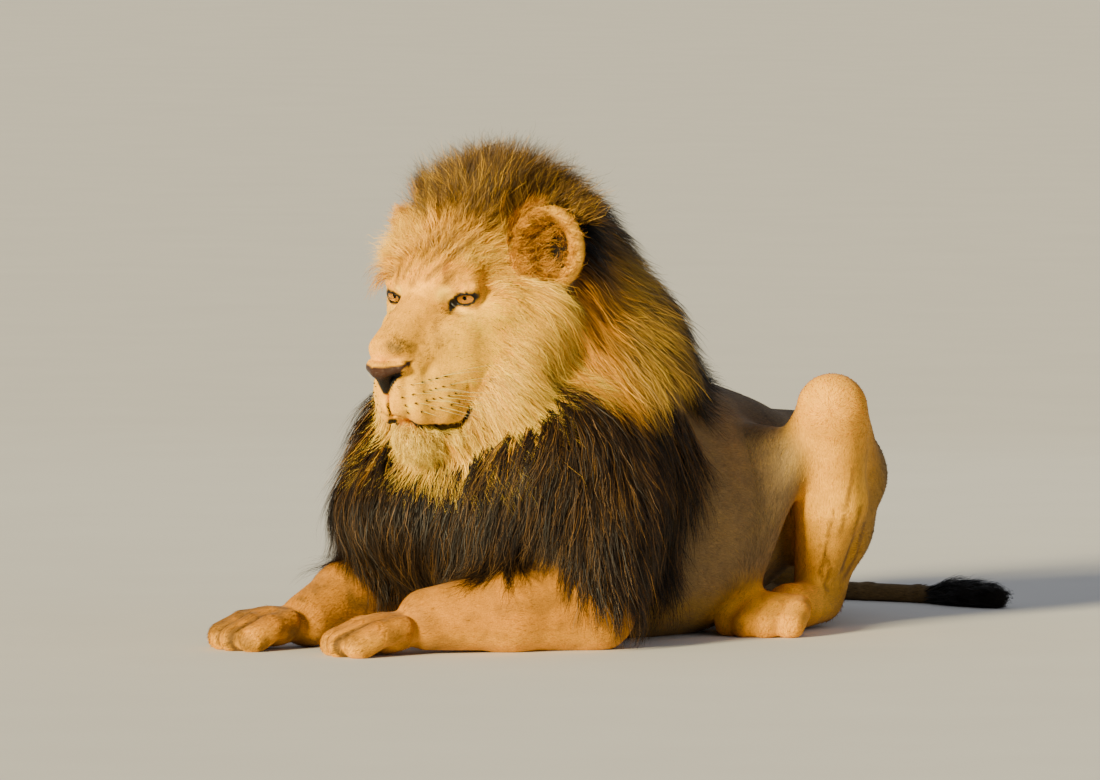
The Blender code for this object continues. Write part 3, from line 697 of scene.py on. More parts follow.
# nothing grows on the lips
LIPD = np.full(len(V), 9.0)
for a_, b_ in zip(MOUTH[2:6], MOUTH[3:7]):
    a_, b_ = np.array(a_, float), np.array(b_, float)
    HA_ = np.stack([AX, HY, HZ], 1)
    t_ = np.clip(((HA_ - a_) @ (b_ - a_)) / ((b_ - a_) @ (b_ - a_)), 0, 1)
    LIPD = np.minimum(LIPD, np.linalg.norm(HA_ - a_ - t_[:, None] * (b_ - a_), axis=1))
CHIN = step(HZ, -18.6, -19.4)
LIPS_FREE = step(LIPD + 0.55 * CHIN, 1.10, 1.55)
FACE_LEN = FACE_LEN * (0.45 + 0.55 * step(LIPD + 1.1 * CHIN, 1.4, 3.0))
LONG = step(FACE_LEN, 0.018, 0.032)
# the fringe that stands up across the crown, ear to ear, and the long hair over the right temple
CROWN = HD * step(HZ, 6.0, 7.8) * step(HY, -6.5, -9.0) * step(HY, -21, -18)
CROWN = np.maximum(CROWN, MANEW * step(V[:, 2], 0.665, 0.690) * step(V[:, 1], 0.12, 0.06))
TEMPLE = HD * step(HV[:, 0], -1.5, -4.0) * step(HZ, 1.2, 3.0) * step(HY, -0.5, -3.0) * step(HY, -15, -12)
CHINW = HD * spot_(HV, (0, 12.0, -20.4), (4.6, 4.6, 3.6)) * LIPS_FREE
# dark freckled hairs: the patch on the bridge, the track below the tear line, scattered ones over the nose and cheeks
HA = np.stack([AX, HY, HZ], 1)
FLECK = 0.30 * spot_(HA, (0, 9.0, -3.2), (4.2, 8.5, 4.0)) + 0.16 * spot_(HA, (5.0, 5.0, -6.0), (3.4, 5.5, 4.4)) + 0.05
FLECK = np.maximum(FLECK, 1.1 * spot_(HV, (2.6, 14.9, -3.2), (2.1, 3.2, 2.0)))
FLECK = np.maximum(FLECK, 0.55 * spot_(HV, (4.6, 10.4, -5.0), (1.9, 3.4, 2.4)))
for a_, b_ in (((4.4, 4.0, -1.0), (4.86, 6.86, -2.77)), ((4.86, 6.86, -2.77), (5.74, 7.84, -5.06)), ((3.6, 9.0, -2.6), (4.9, 7.0, -3.0))):
    a_, b_ = np.array(a_), np.array(b_)
    t_ = np.clip(((HA - a_) @ (b_ - a_)) / ((b_ - a_) @ (b_ - a_)), 0, 1)
    FLECK = np.maximum(FLECK, 0.9 * (1 - step(np.linalg.norm(HA - a_ - t_[:, None] * (b_ - a_), axis=1), 0.25, 1.0)))
FLECK = FLECK * step(HD, 0.4, 0.8)


def streaks(H):
    """darker streaks up the forehead from between the eyes, and the spot over each eye"""
    out = np.zeros(len(H))
    for pts, r in (((((3.6, 7.8), (0.8, 5.8), (-1.1, 3.0)), 0.50), (((5.6, 7.0), (3.4, 5.4), (1.8, 3.8)), 0.40), (((-1.9, 6.8), (-2.9, 3.8)), 0.32), (((1.0, 8.2), (-0.8, 6.2)), 0.34))):
        for a, b in zip(pts[:-1], pts[1:]):
            a, b = np.array(a), np.array(b)
            Q = H[:, [0, 2]]
            t = np.clip(((Q - a) @ (b - a)) / ((b - a) @ (b - a)), 0, 1)
            out = np.maximum(out, 0.8 * (1 - step(np.linalg.norm(Q - a - t[:, None] * (b - a), axis=1), r * 0.4, r * 1.5)))
    out = np.maximum(out, 1 - step(np.sqrt(((np.abs(H[:, 0]) - 4.7) / 0.85) ** 2 + ((H[:, 2] - 3.5) / 1.4) ** 2), 0.5, 1.2))
    return out * step(H[:, 1], -9.0, -4.0)

# ------------------------------------------------------------------ colours of skin and coat
# body coat: the tawny is greyed and darkened with painted shade, as on a flank in shadow; the dark back colour is a
# darker back line deepened with painted shade
TAWNY, TAWNY_DARK, TAWNY_PALE = lin("#80694A"), lin("#554530"), lin("#A58458")
FACE, FACE_PALE, FACE_GOLD, FACE_WHITE = lin("#F0AE34"), lin("#FAC042"), lin("#E8AA34"), lin("#FFDC76")
BRIDGE, GREY, INK, LEATHER = lin("#C89440"), lin("#4E3C22"), lin("#0A0604"), lin("#3A2012")
LIMB, LIMB_PALE, LIMB_DARK = lin("#BE8028"), lin("#E8AC40"), lin("#7E4C18")
# the hind legs' colour: the same coat painted a brighter gold, as if in sunlight
HIND_SUNLIT = lin("#F6B440")
EAR_RIM, EAR_IN, EAR_BACK = lin("#E6AE4A"), lin("#B06A20"), lin("#17110D")


def spot(H, c, r, soft=0.5):
    """1 inside an egg of head units, fading over its outer part"""
    d = np.sqrt((((H - np.array(c)) / np.array(r)) ** 2).sum(-1))
    return 1 - step(d, 1 - soft, 1 + soft * 0.4)


def line(H, pts, r, soft=0.6):
    """1 along a line of head points"""
    best = np.full(len(H), 9e9)
    for a, b in zip(pts[:-1], pts[1:]):
        a, b = np.array(a, float), np.array(b, float)
        t = np.clip(((H - a) @ (b - a)) / ((b - a) @ (b - a)), 0, 1)
        best = np.minimum(best, np.linalg.norm(H - a - t[:, None] * (b - a), axis=1))
    return 1 - step(best, r * (1 - soft), r * (1 + soft))


def wave(P, f, seed):
    """smooth, cheap 3-D variation in -1..1"""
    r = np.random.RandomState(seed)
    s = 0
    for i in range(7):
        k = r.normal(size=3)
        s = s + np.sin(P @ (k / np.linalg.norm(k)) * f * r.uniform(0.6, 1.7) + r.uniform(0, 6.28))
    return s / 3.2


def mane_zones(P):
    """how far a point of the mane belongs to: gold, olive, brown, black"""
    H = to_head(P)
    ax = np.abs(P[:, 0])
    wob = wave(P, 26, 5) * 0.018
    y, z = P[:, 1] + wob, P[:, 2] + wave(P, 30, 6) * 0.014
    cut = 0.435 + 0.10 * step(P[:, 1], 0.05, -0.02) - 0.03 * step(P[:, 1], 0.15, 0.30)
    up = step(z - cut, -0.035, 0.035)
    gold = up * (1 - step(y, 0.070, 0.140)) * (1 - step(z, 0.66, 0.74) * step(ax, 0.05, 0.12)) * (1 - 0.9 * step(z, 0.668, 0.700))
    olive = up * step(y, 0.070, 0.140) * (1 - step(y, 0.20, 0.28)) * (1 - step(z, 0.64, 0.70))
    black = np.clip(up - gold - olive, 0, 1)
    # painted shadow: the mane behind each ear is made black
    ear = np.maximum(spot(H, (12, -20, 3), (6, 5, 9)), spot(H, (-12, -20, 3), (6, 5, 9))) * up
    gold, olive, black = gold * (1 - ear), olive * (1 - ear), black + ear * (1 - black)
    brown = 1 - up
    return gold, olive, brown, black


def skin_colour(P, N, W):
    """colour of the short coat, how bare and how wet the place is"""
    H = to_head(P)
    HN = N @ H_AXES.T
    hx, hy, hz = np.abs(H[:, 0]), H[:, 1], H[:, 2]
    A = np.stack([hx, hy, hz], 1)
    w = {n: W[:, i] for i, n in enumerate(PARTS)}
    c = np.tile(TAWNY, (len(P), 1))
    # body: darker along the back, a darker back line deepened with painted shade; pale under the belly and inside the
    # thighs
    c = mix(c, TAWNY_DARK, 0.45 * step(N[:, 2], 0.3, 0.95) * step(P[:, 2], 0.2, 0.4))
    c = mix(c, TAWNY_PALE, 0.7 * step(-N[:, 2], 0.1, 0.8))
    c = c * (1 + 0.10 * wave(P, 22, 1) + 0.08 * wave(P, 70, 2) + 0.08 * wave(P, 200, 21))[:, None]
    # limbs
    fore = np.clip(w["foreleg"] + w["paw"] * (P[:, 1] < 0.2), 0, 1)
    cf = mix(np.tile(LIMB, (len(P), 1)), LIMB_PALE, 0.6 * step(P[:, 2], 0.06, 0.015))
    cf = mix(cf, LIMB_DARK, 0.35 * step(wave(P, 45, 3), 0.1, 1.0))
    c = mix(c, cf, fore)
    # painted sunlight: the hind legs and hind paws get a brighter gold than the body, fading out toward the rump
    hind = np.clip(w["hind"] + w["paw"] * (P[:, 1] > 0.2), 0, 1) * step(P[:, 1] + 0.02 * wave(P, 40, 50), 0.80, 0.53)
    c = mix(c, mix(np.tile(HIND_SUNLIT, (len(P), 1)), lin("#DE9C34"), 0.5 + 0.5 * wave(P, 30, 4)), 0.9 * hind)
    c = mix(c, LIMB_DARK, 0.5 * w["paw"] * step(N[:, 2], 0.6, 0.95) * step(wave(P, 60, 9), -0.2, 0.9))
    for i in range(0, len(CLAWS), 4):
        for j in range(4):
            b, d = CLAWS[i + j]
            if j < 3:
                mid = (CLAWS[i + j][0] + CLAWS[i + j + 1][0]) * 0.5
                # painted shade: dark lines between the toes, where the grooves between them would be in shade
                gap = line(P * (1, 1, 0.06), [mid * (1, 1, 0.06) + d * 0.030, mid * (1, 1, 0.06) - d * 0.038], 0.0042, 0.55)
                c = mix(c, lin("#3A240E"), 0.88 * gap * w["paw"])
            top = b - d * 0.022 + (0, 0, 0.022)
            c = mix(c, lin("#8E5E24"), 0.55 * (1 - step(np.linalg.norm((P - top) * (1, 1, 0.8), axis=1), 0.008, 0.020)) * w["paw"] * step(wave(P, 150, 40 + j), -0.6, 0.6))
    c = mix(c, lin("#6E4A1E"), 0.50 * w["paw"] * step(wave(P, 110, 43) + 0.6 * wave(P, 260, 44), 0.25, 0.9) * step(N[:, 2], 0.0, 0.5))
    c = mix(c, lin("#745020"), (0.35 + 0.35 * (P[:, 0] < -0.1)) * fore * step(wave(P * (1, 1, 2.2), 60, 41) + 0.7 * wave(P, 170, 42), 0.1, 0.8) * step(P[:, 1], 0.06, -0.06))
    # painted shade: dark crease lines on the outside of each hind leg, in place of real grooves
    side = np.stack([0.819 * np.abs(P[:, 0]) + 0.574 * P[:, 1], P[:, 2], np.zeros(len(P))], 1)
    for k_, pts in enumerate((((0.6137, 0.277), (0.6023, 0.2138), (0.5894, 0.149), (0.5813, 0.1004)), ((0.6266, 0.2138), (0.6137, 0.149), (0.5975, 0.1004)),
                              ((0.5813, 0.2057), (0.5715, 0.149), (0.5618, 0.1004), (0.5732, 0.068)), ((0.6363, 0.1814), (0.6234, 0.1247), (0.6007, 0.0842)),
                              ((0.5618, 0.149), (0.578, 0.1085), (0.5715, 0.0842)))):
        crease_shade = line(side, [(a, b, 0.0) for a, b in pts], 0.0027, 0.6)
        c = mix(c, lin("#4A2E10"), 0.66 * crease_shade * np.clip(w["hind"], 0, 1) * step(np.abs(P[:, 0]), 0.17, 0.20) * step(wave(P, 60, 60 + k_), -1.1, -0.2))
    # the tail's darker brown is partly its own colour and partly painted shade
    tail = w["tail"] * step(P[:, 1], 0.95, 1.02)
    c = mix(c, lin("#6E5836"), tail)
    c = mix(c, INK, w["tail"] * step(P[:, 0], 0.07, 0.11) * step(P[:, 1], 1.1, 1.15))
    # under the mane
    g, o, b, k_ = mane_zones(P)
    cm = lin("#5A3C1C") * g[:, None] + lin("#3A2A16") * o[:, None] + lin("#1A110B") * b[:, None] + lin("#0D0A08") * k_[:, None]
    c = mix(c, cm, np.clip(MANEW * 1.2, 0, 1))
    c = mix(c, lin("#B98C50"), step(w["ruff"], 0.2, 0.7))
    # face
    f = np.tile(FACE, (len(P), 1))
    f = mix(f, FACE_PALE, step(hx, 3.5, 8.0) * step(hz, 2.0, -4.0))
    f = mix(f, FACE_GOLD, 0.75 * step(hz, 2.5, 6.5))
    f = mix(f, BRIDGE, 0.8 * spot(A, (0, 8.0, -3.0), (3.6, 9.0, 3.6), 0.7))
    f = mix(f, lin("#A9824F"), 0.7 * spot(A, (4.6, 4.2, -4.8), (2.4, 4.8, 2.4), 0.8))
    f = mix(f, FACE_PALE, 0.9 * spot(A, (2.8, 11.0, -11.5), (4.6, 6.5, 5.4), 0.6))
    f = mix(f, FACE_WHITE, 0.85 * spot(A, (5.6, 1.2, -2.9), (2.9, 2.2, 1.35), 0.7))
    f = mix(f, FACE_WHITE, 0.55 * spot(A, (4.3, 2.0, 1.0), (1.7, 1.8, 1.7), 0.7))
    f = mix(f, FACE_WHITE, 0.35 * spot(A, (0, 11.5, -20.5), (4.2, 5.0, 3.4), 0.6))
    f = mix(f, lin("#8A4A14"), 0.9 * spot(H, (3.9, 0.0, 4.2), (0.75, 1.6, 1.6), 0.7))
    f = mix(f, lin("#A8752F"), 0.5 * spot(H, (-3.9, 0.0, 4.2), (0.75, 1.6, 1.4), 0.6))
    f = mix(f, lin("#80561F"), 0.90 * streaks(H) * (0.6 + 0.4 * step(wave(P, 450, 31), -0.6, 0.4)))
    f = f * (1 + 0.07 * wave(P, 90, 7) + 0.09 * wave(P, 240, 8) + 0.08 * wave(P, 420, 18))[:, None]
    f = mix(f, GREY, 0.86 * spot(H, (2.2, 14.9, -3.1), (2.3, 3.2, 2.0), 0.8) * (0.5 + 0.5 * step(wave(P, 420, 11) + 0.5 * wave(P, 800, 15), -0.7, 0.4)))
    f = mix(f, GREY, 0.50 * spot(H, (4.2, 11.0, -4.6), (2.2, 3.8, 2.4), 0.7) * (0.15 + 0.85 * step(wave(P, 450, 16) + 0.6 * wave(P, 800, 17), 0.0, 0.6)))
    f = mix(f, GREY, 0.40 * spot(A, (1.2, 6.5, -1.6), (2.8, 6.0, 2.6), 0.8) * step(wave(P, 300, 12), 0.0, 0.9))
    f = mix(f, lin("#6E4F2E"), 0.5 * line(A, [(4.3, 4.0, -0.9), (4.86, 6.86, -2.77), (5.74, 7.84, -5.06)], 0.75) * (0.4 + 0.6 * step(wave(P, 450, 13), -0.6, 0.5)))
    # black rims of the eyes, tear line
    rim = np.zeros(len(P))
    open_ = np.zeros(len(P))
    for s in (1, -1):
        ec, look, E, out = EYE_FRAME[s]
        q = P - ec
        u, v, dep = q @ out / UNIT, q @ E[2] / UNIT, q @ look / UNIT
        near = (dep > 0.2) & (np.linalg.norm(q, axis=1) < 5.0 * UNIT)
        r = np.sqrt(((u + 0.05) / 1.46) ** 2 + ((v + 0.11) / 0.80) ** 2)
        flat = np.stack([u, v, 0 * u], 1)
        ring = 1 - step(r, 1.26, 1.52)
        tail = line(flat, [(0.6, 0.05, 0), (2.1, 0.08, 0), (2.9, -0.02, 0)], 0.52, 0.4) * step(u, 3.2, 1.8)
        top = line(flat, [(-1.6, 0.20, 0), (-0.9, 0.84, 0), (0.3, 0.98, 0), (1.5, 0.55, 0)], 0.46, 0.4)
        duct = np.maximum(line(flat, [(-0.9, 0.1, 0), (-2.1, -0.65, 0)], 0.85, 0.25), line(flat, [(-2.0, -0.7, 0), (-3.0, -2.0, 0), (-3.9, -3.5, 0)], 0.52, 0.5))
        rim = np.maximum(rim, near * np.clip(np.maximum.reduce([ring, tail, top, duct]), 0, 1))
        open_ = np.maximum(open_, near * (1 - step(r, 0.8, 1.1)))
    f = mix(f, INK, rim)
    # whisker spots
    dots = np.zeros(len(P))
    for s in (1, -1):
        for row, (z0, n) in enumerate(((-9.6, 6), (-11.0, 7), (-12.4, 7), (-13.8, 6))):
            for j in range(n):
                t = j / (n - 1)
                pt = WHISKER(s, row, t)
                dots = np.maximum(dots, 1 - step(np.linalg.norm((H - to_head(pt)) * (1, 0.8, 1), axis=1), 0.12, 0.34))
    f = mix(f, lin("#4A2C12"), 0.85 * dots)
    # lips
    lips = np.zeros(len(P))
    for s in (1, -1):
        lips = np.maximum(lips, 0.9 * line(H, [(s * a[0], a[1], a[2]) for a in MOUTH[:3]], 0.50, 0.4))
        for (x, y, z), r in zip(P_[5:22], R_[5:22]):
            o = np.array((x * 0.9, max(y - 5.0, 0) * 0.55, 0.0)) + (0, 1e-3, 0)
            o = o / np.linalg.norm(o)
            a, b = np.array((x, y, z)) - o * (1.3 + r), np.array((x, y, z)) + o * 0.35
            lips = np.maximum(lips, line(H, [(s * a[0], a[1], a[2]), (s * b[0], b[1], b[2])], r + 0.16, 0.16))
        lips = np.maximum(lips, line(H, [(s * a[0], a[1], a[2]) for a in MOUTH[2:7]], 0.60, 0.35))
        lips = np.maximum(lips, 0.9 * line(H, [(s * a[0], a[1], a[2]) for a in MOUTH[6:]], 0.36, 0.5))
    cleft = line(H, [(0, 17.6, -9.8), (0, 16.6, -12.0), (0, 15.9, -14.6)], 0.34, 0.4)
    f = mix(f, lin("#7A4026"), 0.8 * spot(A, (0.8, 12.9, -17.3), (1.7, 2.2, 0.9), 0.6) * step(wave(P, 230, 14), -0.5, 0.4))
    f = mix(f, INK, np.clip(lips + cleft, 0, 1))
    f = mix(f, INK, 0.85 * spot(H, (8.2, 1.0, -20.0), (0.6, 1.0, 0.9), 0.5))
    # nose leather
    wedge = 3.9 * np.clip((hz + 11.0) / 5.0, 0, 1) ** 1.15 + 0.12
    nose = step(wedge - hx, -0.18, 0.10) * step(hz, -10.9, -10.3) * step(hz, -5.30 - 0.10 * hx, -5.62 - 0.10 * hx) * step(hy, 12.6, 13.4)
    f = mix(f, mix(np.tile(LEATHER, (len(P), 1)), INK, step(hz, -6.6, -8.2)), nose)
    c = mix(c, f, step(w["head"], 0.25, 0.75))
    # ears
    e = w["ear"]
    for s in (1, -1):
        ec, E, er = EAR_FRAME[s]
        q = (P - ec) @ E.T
        front = (q[:, 1] > -0.2 * UNIT)
        d = np.sqrt((q[:, 0] / er[0]) ** 2 + (q[:, 2] / er[2]) ** 2)
        near = step(e, 0.3, 0.7) * (np.linalg.norm(q, axis=1) < 9 * UNIT)
        ce = mix(np.tile(EAR_BACK, (len(P), 1)), EAR_RIM, np.maximum(step(d, 0.80, 0.90), front * 1.0))
        ce = mix(ce, EAR_IN, front * (1 - step(d, 0.35, 0.80)) * 0.95)
        c = mix(c, ce, near * (np.linalg.norm(q, axis=1) > 0))
    return np.clip(c, 0.001, 1), np.clip(nose, 0, 1), np.clip(rim + lips * 0.7 + nose, 0, 1), open_


def WHISKER(s, row, t):
    """root of a whisker on its pad: side, row from the top, 0 in front to 1 behind"""
    y = 15.0 - t * (6.4 + 0.5 * row)
    z = -9.8 - row * 1.35 - 0.9 * t * (0.4 + row * 0.25)
    x = 1.6 + 4.1 * t ** 0.7 + 0.25 * row
    return hp(s * x, y, z)


HEADP = to_head(V)
COL, NOSE, WET, OPEN = skin_colour(V, NV, W)

# ------------------------------------------------------------------ skin object and its unwrap
def ride(ob, slot, *replaced):
    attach(ob, "root")
    if replaced:
        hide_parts(*replaced)
    return ob


def unwrap(V, T, N, W):
    """charts by body part and facing, packed in a square: uv for each triangle corner"""
    fn = unit(np.cross(V[T[:, 1]] - V[T[:, 0]], V[T[:, 2]] - V[T[:, 0]]))
    mid = V[T].mean(1)
    part = W[T].mean(1).argmax(1)
    side = (mid[:, 0] > 0).astype(int)
    axis = np.abs(fn).argmax(1)
    sign = fn[np.arange(len(fn)), axis] > 0
    # shells one behind the other (front and back of a leg, floor side and top) don't share a chart
    layer = ((mid[:, 1] > 0.62) & (part == PARTS.index("hind"))).astype(int)
    key = (((part * 2 + side) * 3 + axis) * 2 + sign) * 2 + layer
    uv = np.zeros((len(T), 3, 2))
    boxes = []
    for kk in np.unique(key):
        m = key == kk
        a = axis[m][0]
        o = [(1, 2), (0, 2), (0, 1)][a]
        p = V[T[m]][:, :, o]
        lo, hi = p.reshape(-1, 2).min(0), p.reshape(-1, 2).max(0)
        boxes.append((hi[1] - lo[1], hi[0] - lo[0], m, p - lo))
    boxes.sort(key=lambda b: -b[0])
    total = sum(b[0] * b[1] for b in boxes)
    width = math.sqrt(total) * 1.12
    x = y = h = 0.0
    gap = width * 0.004
    place = []
    for bh, bw, m, p in boxes:
        if x + bw > width and x > 0:
            x, y, h = 0.0, y + h + gap, 0.0
        place.append((x, y, m, p))
        x, h = x + bw + gap, max(h, bh)
    size = max(width, y + h) * 1.01 + 2 * gap
    for x, y, m, p in place:
        uv[m] = (p + np.array((x + gap, y + gap))) / size
    return uv


UV = unwrap(V, T, NV, W)
skin = make_mesh("skin", V, T, colour=warm(COL), extra={"nose": NOSE, "wet": WET, "lie": unit(FLOW)})
layer = skin.data.uv_layers.new(name="OFBake")
layer.uv.foreach_set("vector", UV.astype(np.float32).ravel())
ride(skin, "coat_body", "head", "lower_jaw", "nose", "ear_left", "ear_right", "trunk", "rump", "foreleg_left", "foreleg_right",
     "fore_paw_left", "fore_paw_right", "thigh_left", "thigh_right", "shank_left", "shank_right", "hind_foot_left",
     "hind_foot_right", "tail_base", "tail_end")

m = Nodes("short_coat")
co = m.node("ShaderNodeTexCoord", 3)
col = m.attr("Col")
lie = m.node("ShaderNodeSeparateXYZ", 0, None, Vector=m.attr("lie", "Vector"))
sep = lie.node
coarse = m.noise(co, 34.0, 4.0)
col = m.mul(col, m.ramp(coarse, [(0.25, (0.80, 0.79, 0.78)), (0.75, (1.16, 1.15, 1.12))]))
fine = m.noise(co, 420.0, 3.0)
combs = []
for i, sc in enumerate(((90, 620, 620), (620, 90, 620), (620, 620, 90))):
    n = m.noise(m.stretch(co, sc), 1.0, 2.0)
    f = m.math("MULTIPLY", sep.outputs[i], sep.outputs[i])
    combs.append(m.math("MULTIPLY", n, f))
comb = m.math("ADD", m.math("ADD", combs[0], combs[1]), combs[2])
furry = m.math("SUBTRACT", 1.0, m.attr("nose", "Fac"))
col = m.mul(col, m.ramp(comb, [(0.30, (0.66, 0.64, 0.62)), (0.72, (1.30, 1.28, 1.24))]), 0.8)
leather = m.node("ShaderNodeTexVoronoi", 0, {"feature": "DISTANCE_TO_EDGE"}, Vector=co, Scale=520.0)
h1 = m.math("MULTIPLY", comb, m.math("SUBTRACT", 1.0, m.attr("wet", "Fac")))
h2 = m.math("MULTIPLY", m.math("MINIMUM", leather, 0.25), m.math("MULTIPLY", m.attr("nose", "Fac"), 2.2))
b1 = m.node("ShaderNodeBump", 0, None, Strength=0.55, Distance=0.0016, Height=m.math("ADD", h1, h2))
m.set(Base_Color=col, Normal=b1, Roughness=m.math("SUBTRACT", 0.78, m.math("MULTIPLY", m.attr("wet", "Fac"), 0.40)))
m.set(**{"Sheen_Weight": 0.04, "Sheen_Roughness": 0.5, "Specular_IOR_Level": 0.22})
skin.data.materials.append(m.mat)

# ------------------------------------------------------------------ eyes
def lathe(name, prof, rings, frame, centre, colours):
    """surface of revolution about frame[1]; prof = (radius, height) list; colours per ring"""
    a = np.linspace(0, 2 * np.pi, rings, endpoint=False)
    pts, cols = [], []
    for (r, h), c in zip(prof, colours):
        ring = centre + (np.cos(a)[:, None] * frame[0] + np.sin(a)[:, None] * frame[2]) * r + frame[1] * h
        pts.append(ring)
        cc = c(a) if callable(c) else np.tile(c, (rings, 1))
        cols.append(cc)
    P = np.concatenate(pts)
    t = []
    n = len(prof)
    for i in range(n - 1):
        for j in range(rings):
            a0, a1 = i * rings + j, i * rings + (j + 1) % rings
            b0, b1 = a0 + rings, a1 + rings
            t += [(a0, b0, b1), (a0, b1, a1)]
    ang, hh = np.tile(a, n) / (2 * np.pi), np.repeat(np.linspace(0, 1, n), rings)
    return make_mesh(name, P, t, colour=np.concatenate(cols), uv=np.stack([ang, hh], 1))


def eye_pieces(s, word):
    c = EYE_FRAME[s][0]
    E = axes_from(H_FWD * 0.96 + H_LEFT * s * 0.27 - H_UP * 0.01, H_UP)
    R = EYE_R * UNIT
    ir = 0.80 * R
    rs = np.random.RandomState(21 + s)
    streak = np.interp(np.linspace(0, 1, 96, endpoint=False), np.linspace(0, 1, 65), rs.uniform(-1, 1, 65))
    amber, deep, ring = np.array((0.80, 0.33, 0.003)), np.array((0.42, 0.14, 0.002)), lin("#2A1404")
    prof, cols = [], []
    for th in np.linspace(0.98, 0.0, 22) * np.pi:            # from the back to the rim of the iris
        if th < math.asin(0.825):
            break
        prof.append((R * math.sin(th), R * math.cos(th)))
        cols.append(lin("#2B1D14") if math.cos(th) > 0.2 else lin("#C9B49A"))
    edge = R * math.cos(math.asin(0.80))
    prof += [(ir * 1.03, edge), (ir, edge - 0.02 * R)]
    cols += [lin("#120C08"), lin("#1A1009")]
    for t in np.linspace(0.97, 0.22, 12):
        prof.append((ir * t, edge + (0.02 - 0.03 * (1 - t)) * R))
        def cc(a, t=t):
            k = np.clip(0.55 + 0.30 * streak + 0.5 * (0.62 - t), 0, 1)
            b = mix(np.tile(deep, (len(a), 1)), amber, k)
            return mix(b, ring, step(np.full(len(a), t), 0.88, 1.0))
        cols.append(cc)
    for t, h in ((0.20, 0.02), (0.18, 0.12), (0.02, 0.22)):
        prof.append((ir * t, edge - h * R))
        cols.append(lin("#060403"))
    ball = lathe("eye_" + word, prof, 96, E, c, cols)
    prof, cols = [], []
    for t in np.linspace(1.06, 0.02, 14):                    # clear cornea, a flatter dome proud of the ball
        r = ir * t
        prof.append((r, edge + R * (0.03 + 0.36 * (1 - (t / 1.06) ** 2) ** 0.9)))
        cols.append((1, 1, 1))
    cornea = lathe("cornea_" + word, prof, 64, E, c, cols)
    return ball, cornea


m = Nodes("eyeball")
co = m.node("ShaderNodeTexCoord", 3)
m.set(Base_Color=m.mul(m.attr("Col"), m.ramp(m.noise(co, 900.0), [(0.3, (0.8, 0.8, 0.8)), (0.7, (1.1, 1.1, 1.1))])), Roughness=0.28)
m.set(**{"Specular_IOR_Level": 0.2})
EYE_MAT = m.mat
m = Nodes("cornea_clear")
m.set(Base_Color=(1, 1, 1, 1), Roughness=0.02, IOR=1.22)
m.set(**{"Transmission_Weight": 1.0})
m.set(Normal=m.node("ShaderNodeBump", 0, None, Strength=0.02, Distance=0.0001, Height=m.noise(m.node("ShaderNodeTexCoord", 3), 300.0)))
CORNEA_MAT = m.mat
for s, word in ((1, "left"), (-1, "right")):
    ball, cornea = eye_pieces(s, word)
    ball.data.materials.append(EYE_MAT)
    cornea.data.materials.append(CORNEA_MAT)
    ride(ball, "eye", "eye_" + word)
    ride(cornea, "eye")


# ------------------------------------------------------------------ ribbons, the one way every hair is made
def ribbons(name, path, side, width, c0, c1, uv, taper=0.22, roll=None, mat=None, bulk=None):
    """path (n, k+1, 3), side (n, k+1, 3) across each strand, width (n,), colours at root and tip (n, 3), uv at the root (n, 2)"""
    n, k = path.shape[0], path.shape[1] - 1
    t = np.linspace(0, 1, k + 1)
    prof = (0.55 + 0.45 * np.sin(np.pi * np.clip(t * 1.25 + 0.12, 0, 1))) * (1 - (1 - taper) * t ** 2.2)
    half = side * (width[:, None, None] * 0.5 * prof[None, :, None])
    L, R = path - half, path + half
    P = np.empty((n, 2 * k + 1, 3))
    P[:, 0:2 * k:2] = L[:, :k]
    P[:, 1:2 * k:2] = R[:, :k]
    P[:, 2 * k] = path[:, k]
    tt = np.empty(2 * k + 1)
    tt[0:2 * k:2] = t[:k]
    tt[1:2 * k:2] = t[:k]
    tt[2 * k] = 1
    tri = []
    for i in range(k - 1):
        a = 2 * i
        tri += [(a, a + 1, a + 3), (a, a + 3, a + 2)]
    tri.append((2 * k - 2, 2 * k - 1, 2 * k))
    tri = np.array(tri)
    T = (tri[None] + (np.arange(n) * (2 * k + 1))[:, None, None]).reshape(-1, 3)
    C = c0[:, None] + (c1 - c0)[:, None] * (tt ** 1.3)[None, :, None]
    U = np.empty((n, 2 * k + 1, 2))
    across = np.zeros(2 * k + 1)
    across[0:2 * k:2], across[1:2 * k:2] = -0.5, 0.5
    U[:, :, 0] = uv[:, None, 0] + across[None] * 0.003
    U[:, :, 1] = uv[:, None, 1] + (tt[None] - 0.5) * 0.003
    ob = make_mesh(name, P.reshape(-1, 3), T, uv=U.reshape(-1, 2), colour=np.clip(warm(C.reshape(-1, 3)), 0.0005, 1),
                   extra={"along": np.tile(tt, n)})
    if mat:
        ob.data.materials.append(mat)
    return ob


def hair_material(name, rough, sheen, spec):
    m = Nodes(name)
    co = m.node("ShaderNodeTexCoord", 3)
    vary = m.ramp(m.noise(co, 260.0, 2.0), [(0.25, (0.72, 0.72, 0.72)), (0.75, (1.22, 1.20, 1.16))])
    shade = m.ramp(m.attr("along", "Fac"), [(0.0, (0.62, 0.60, 0.58)), (0.35, (1.0, 1.0, 1.0))])
    m.set(Base_Color=m.mul(m.mul(m.attr("Col"), vary), shade), Roughness=rough)
    m.set(**{"Sheen_Weight": sheen, "Sheen_Roughness": 0.4, "Specular_IOR_Level": spec})
    m.set(Normal=m.node("ShaderNodeBump", 0, None, Strength=0.3, Distance=0.0004, Height=m.noise(co, 900.0, 1.0)))
    return m.mat


LONG_MAT = hair_material("long_hair", 0.50, 0.0, 0.24)
SHORT_MAT = hair_material("short_hair", 0.62, 0.0, 0.16)

TA = np.linalg.norm(np.cross(V[T[:, 1]] - V[T[:, 0]], V[T[:, 2]] - V[T[:, 0]]), axis=1) * 0.5


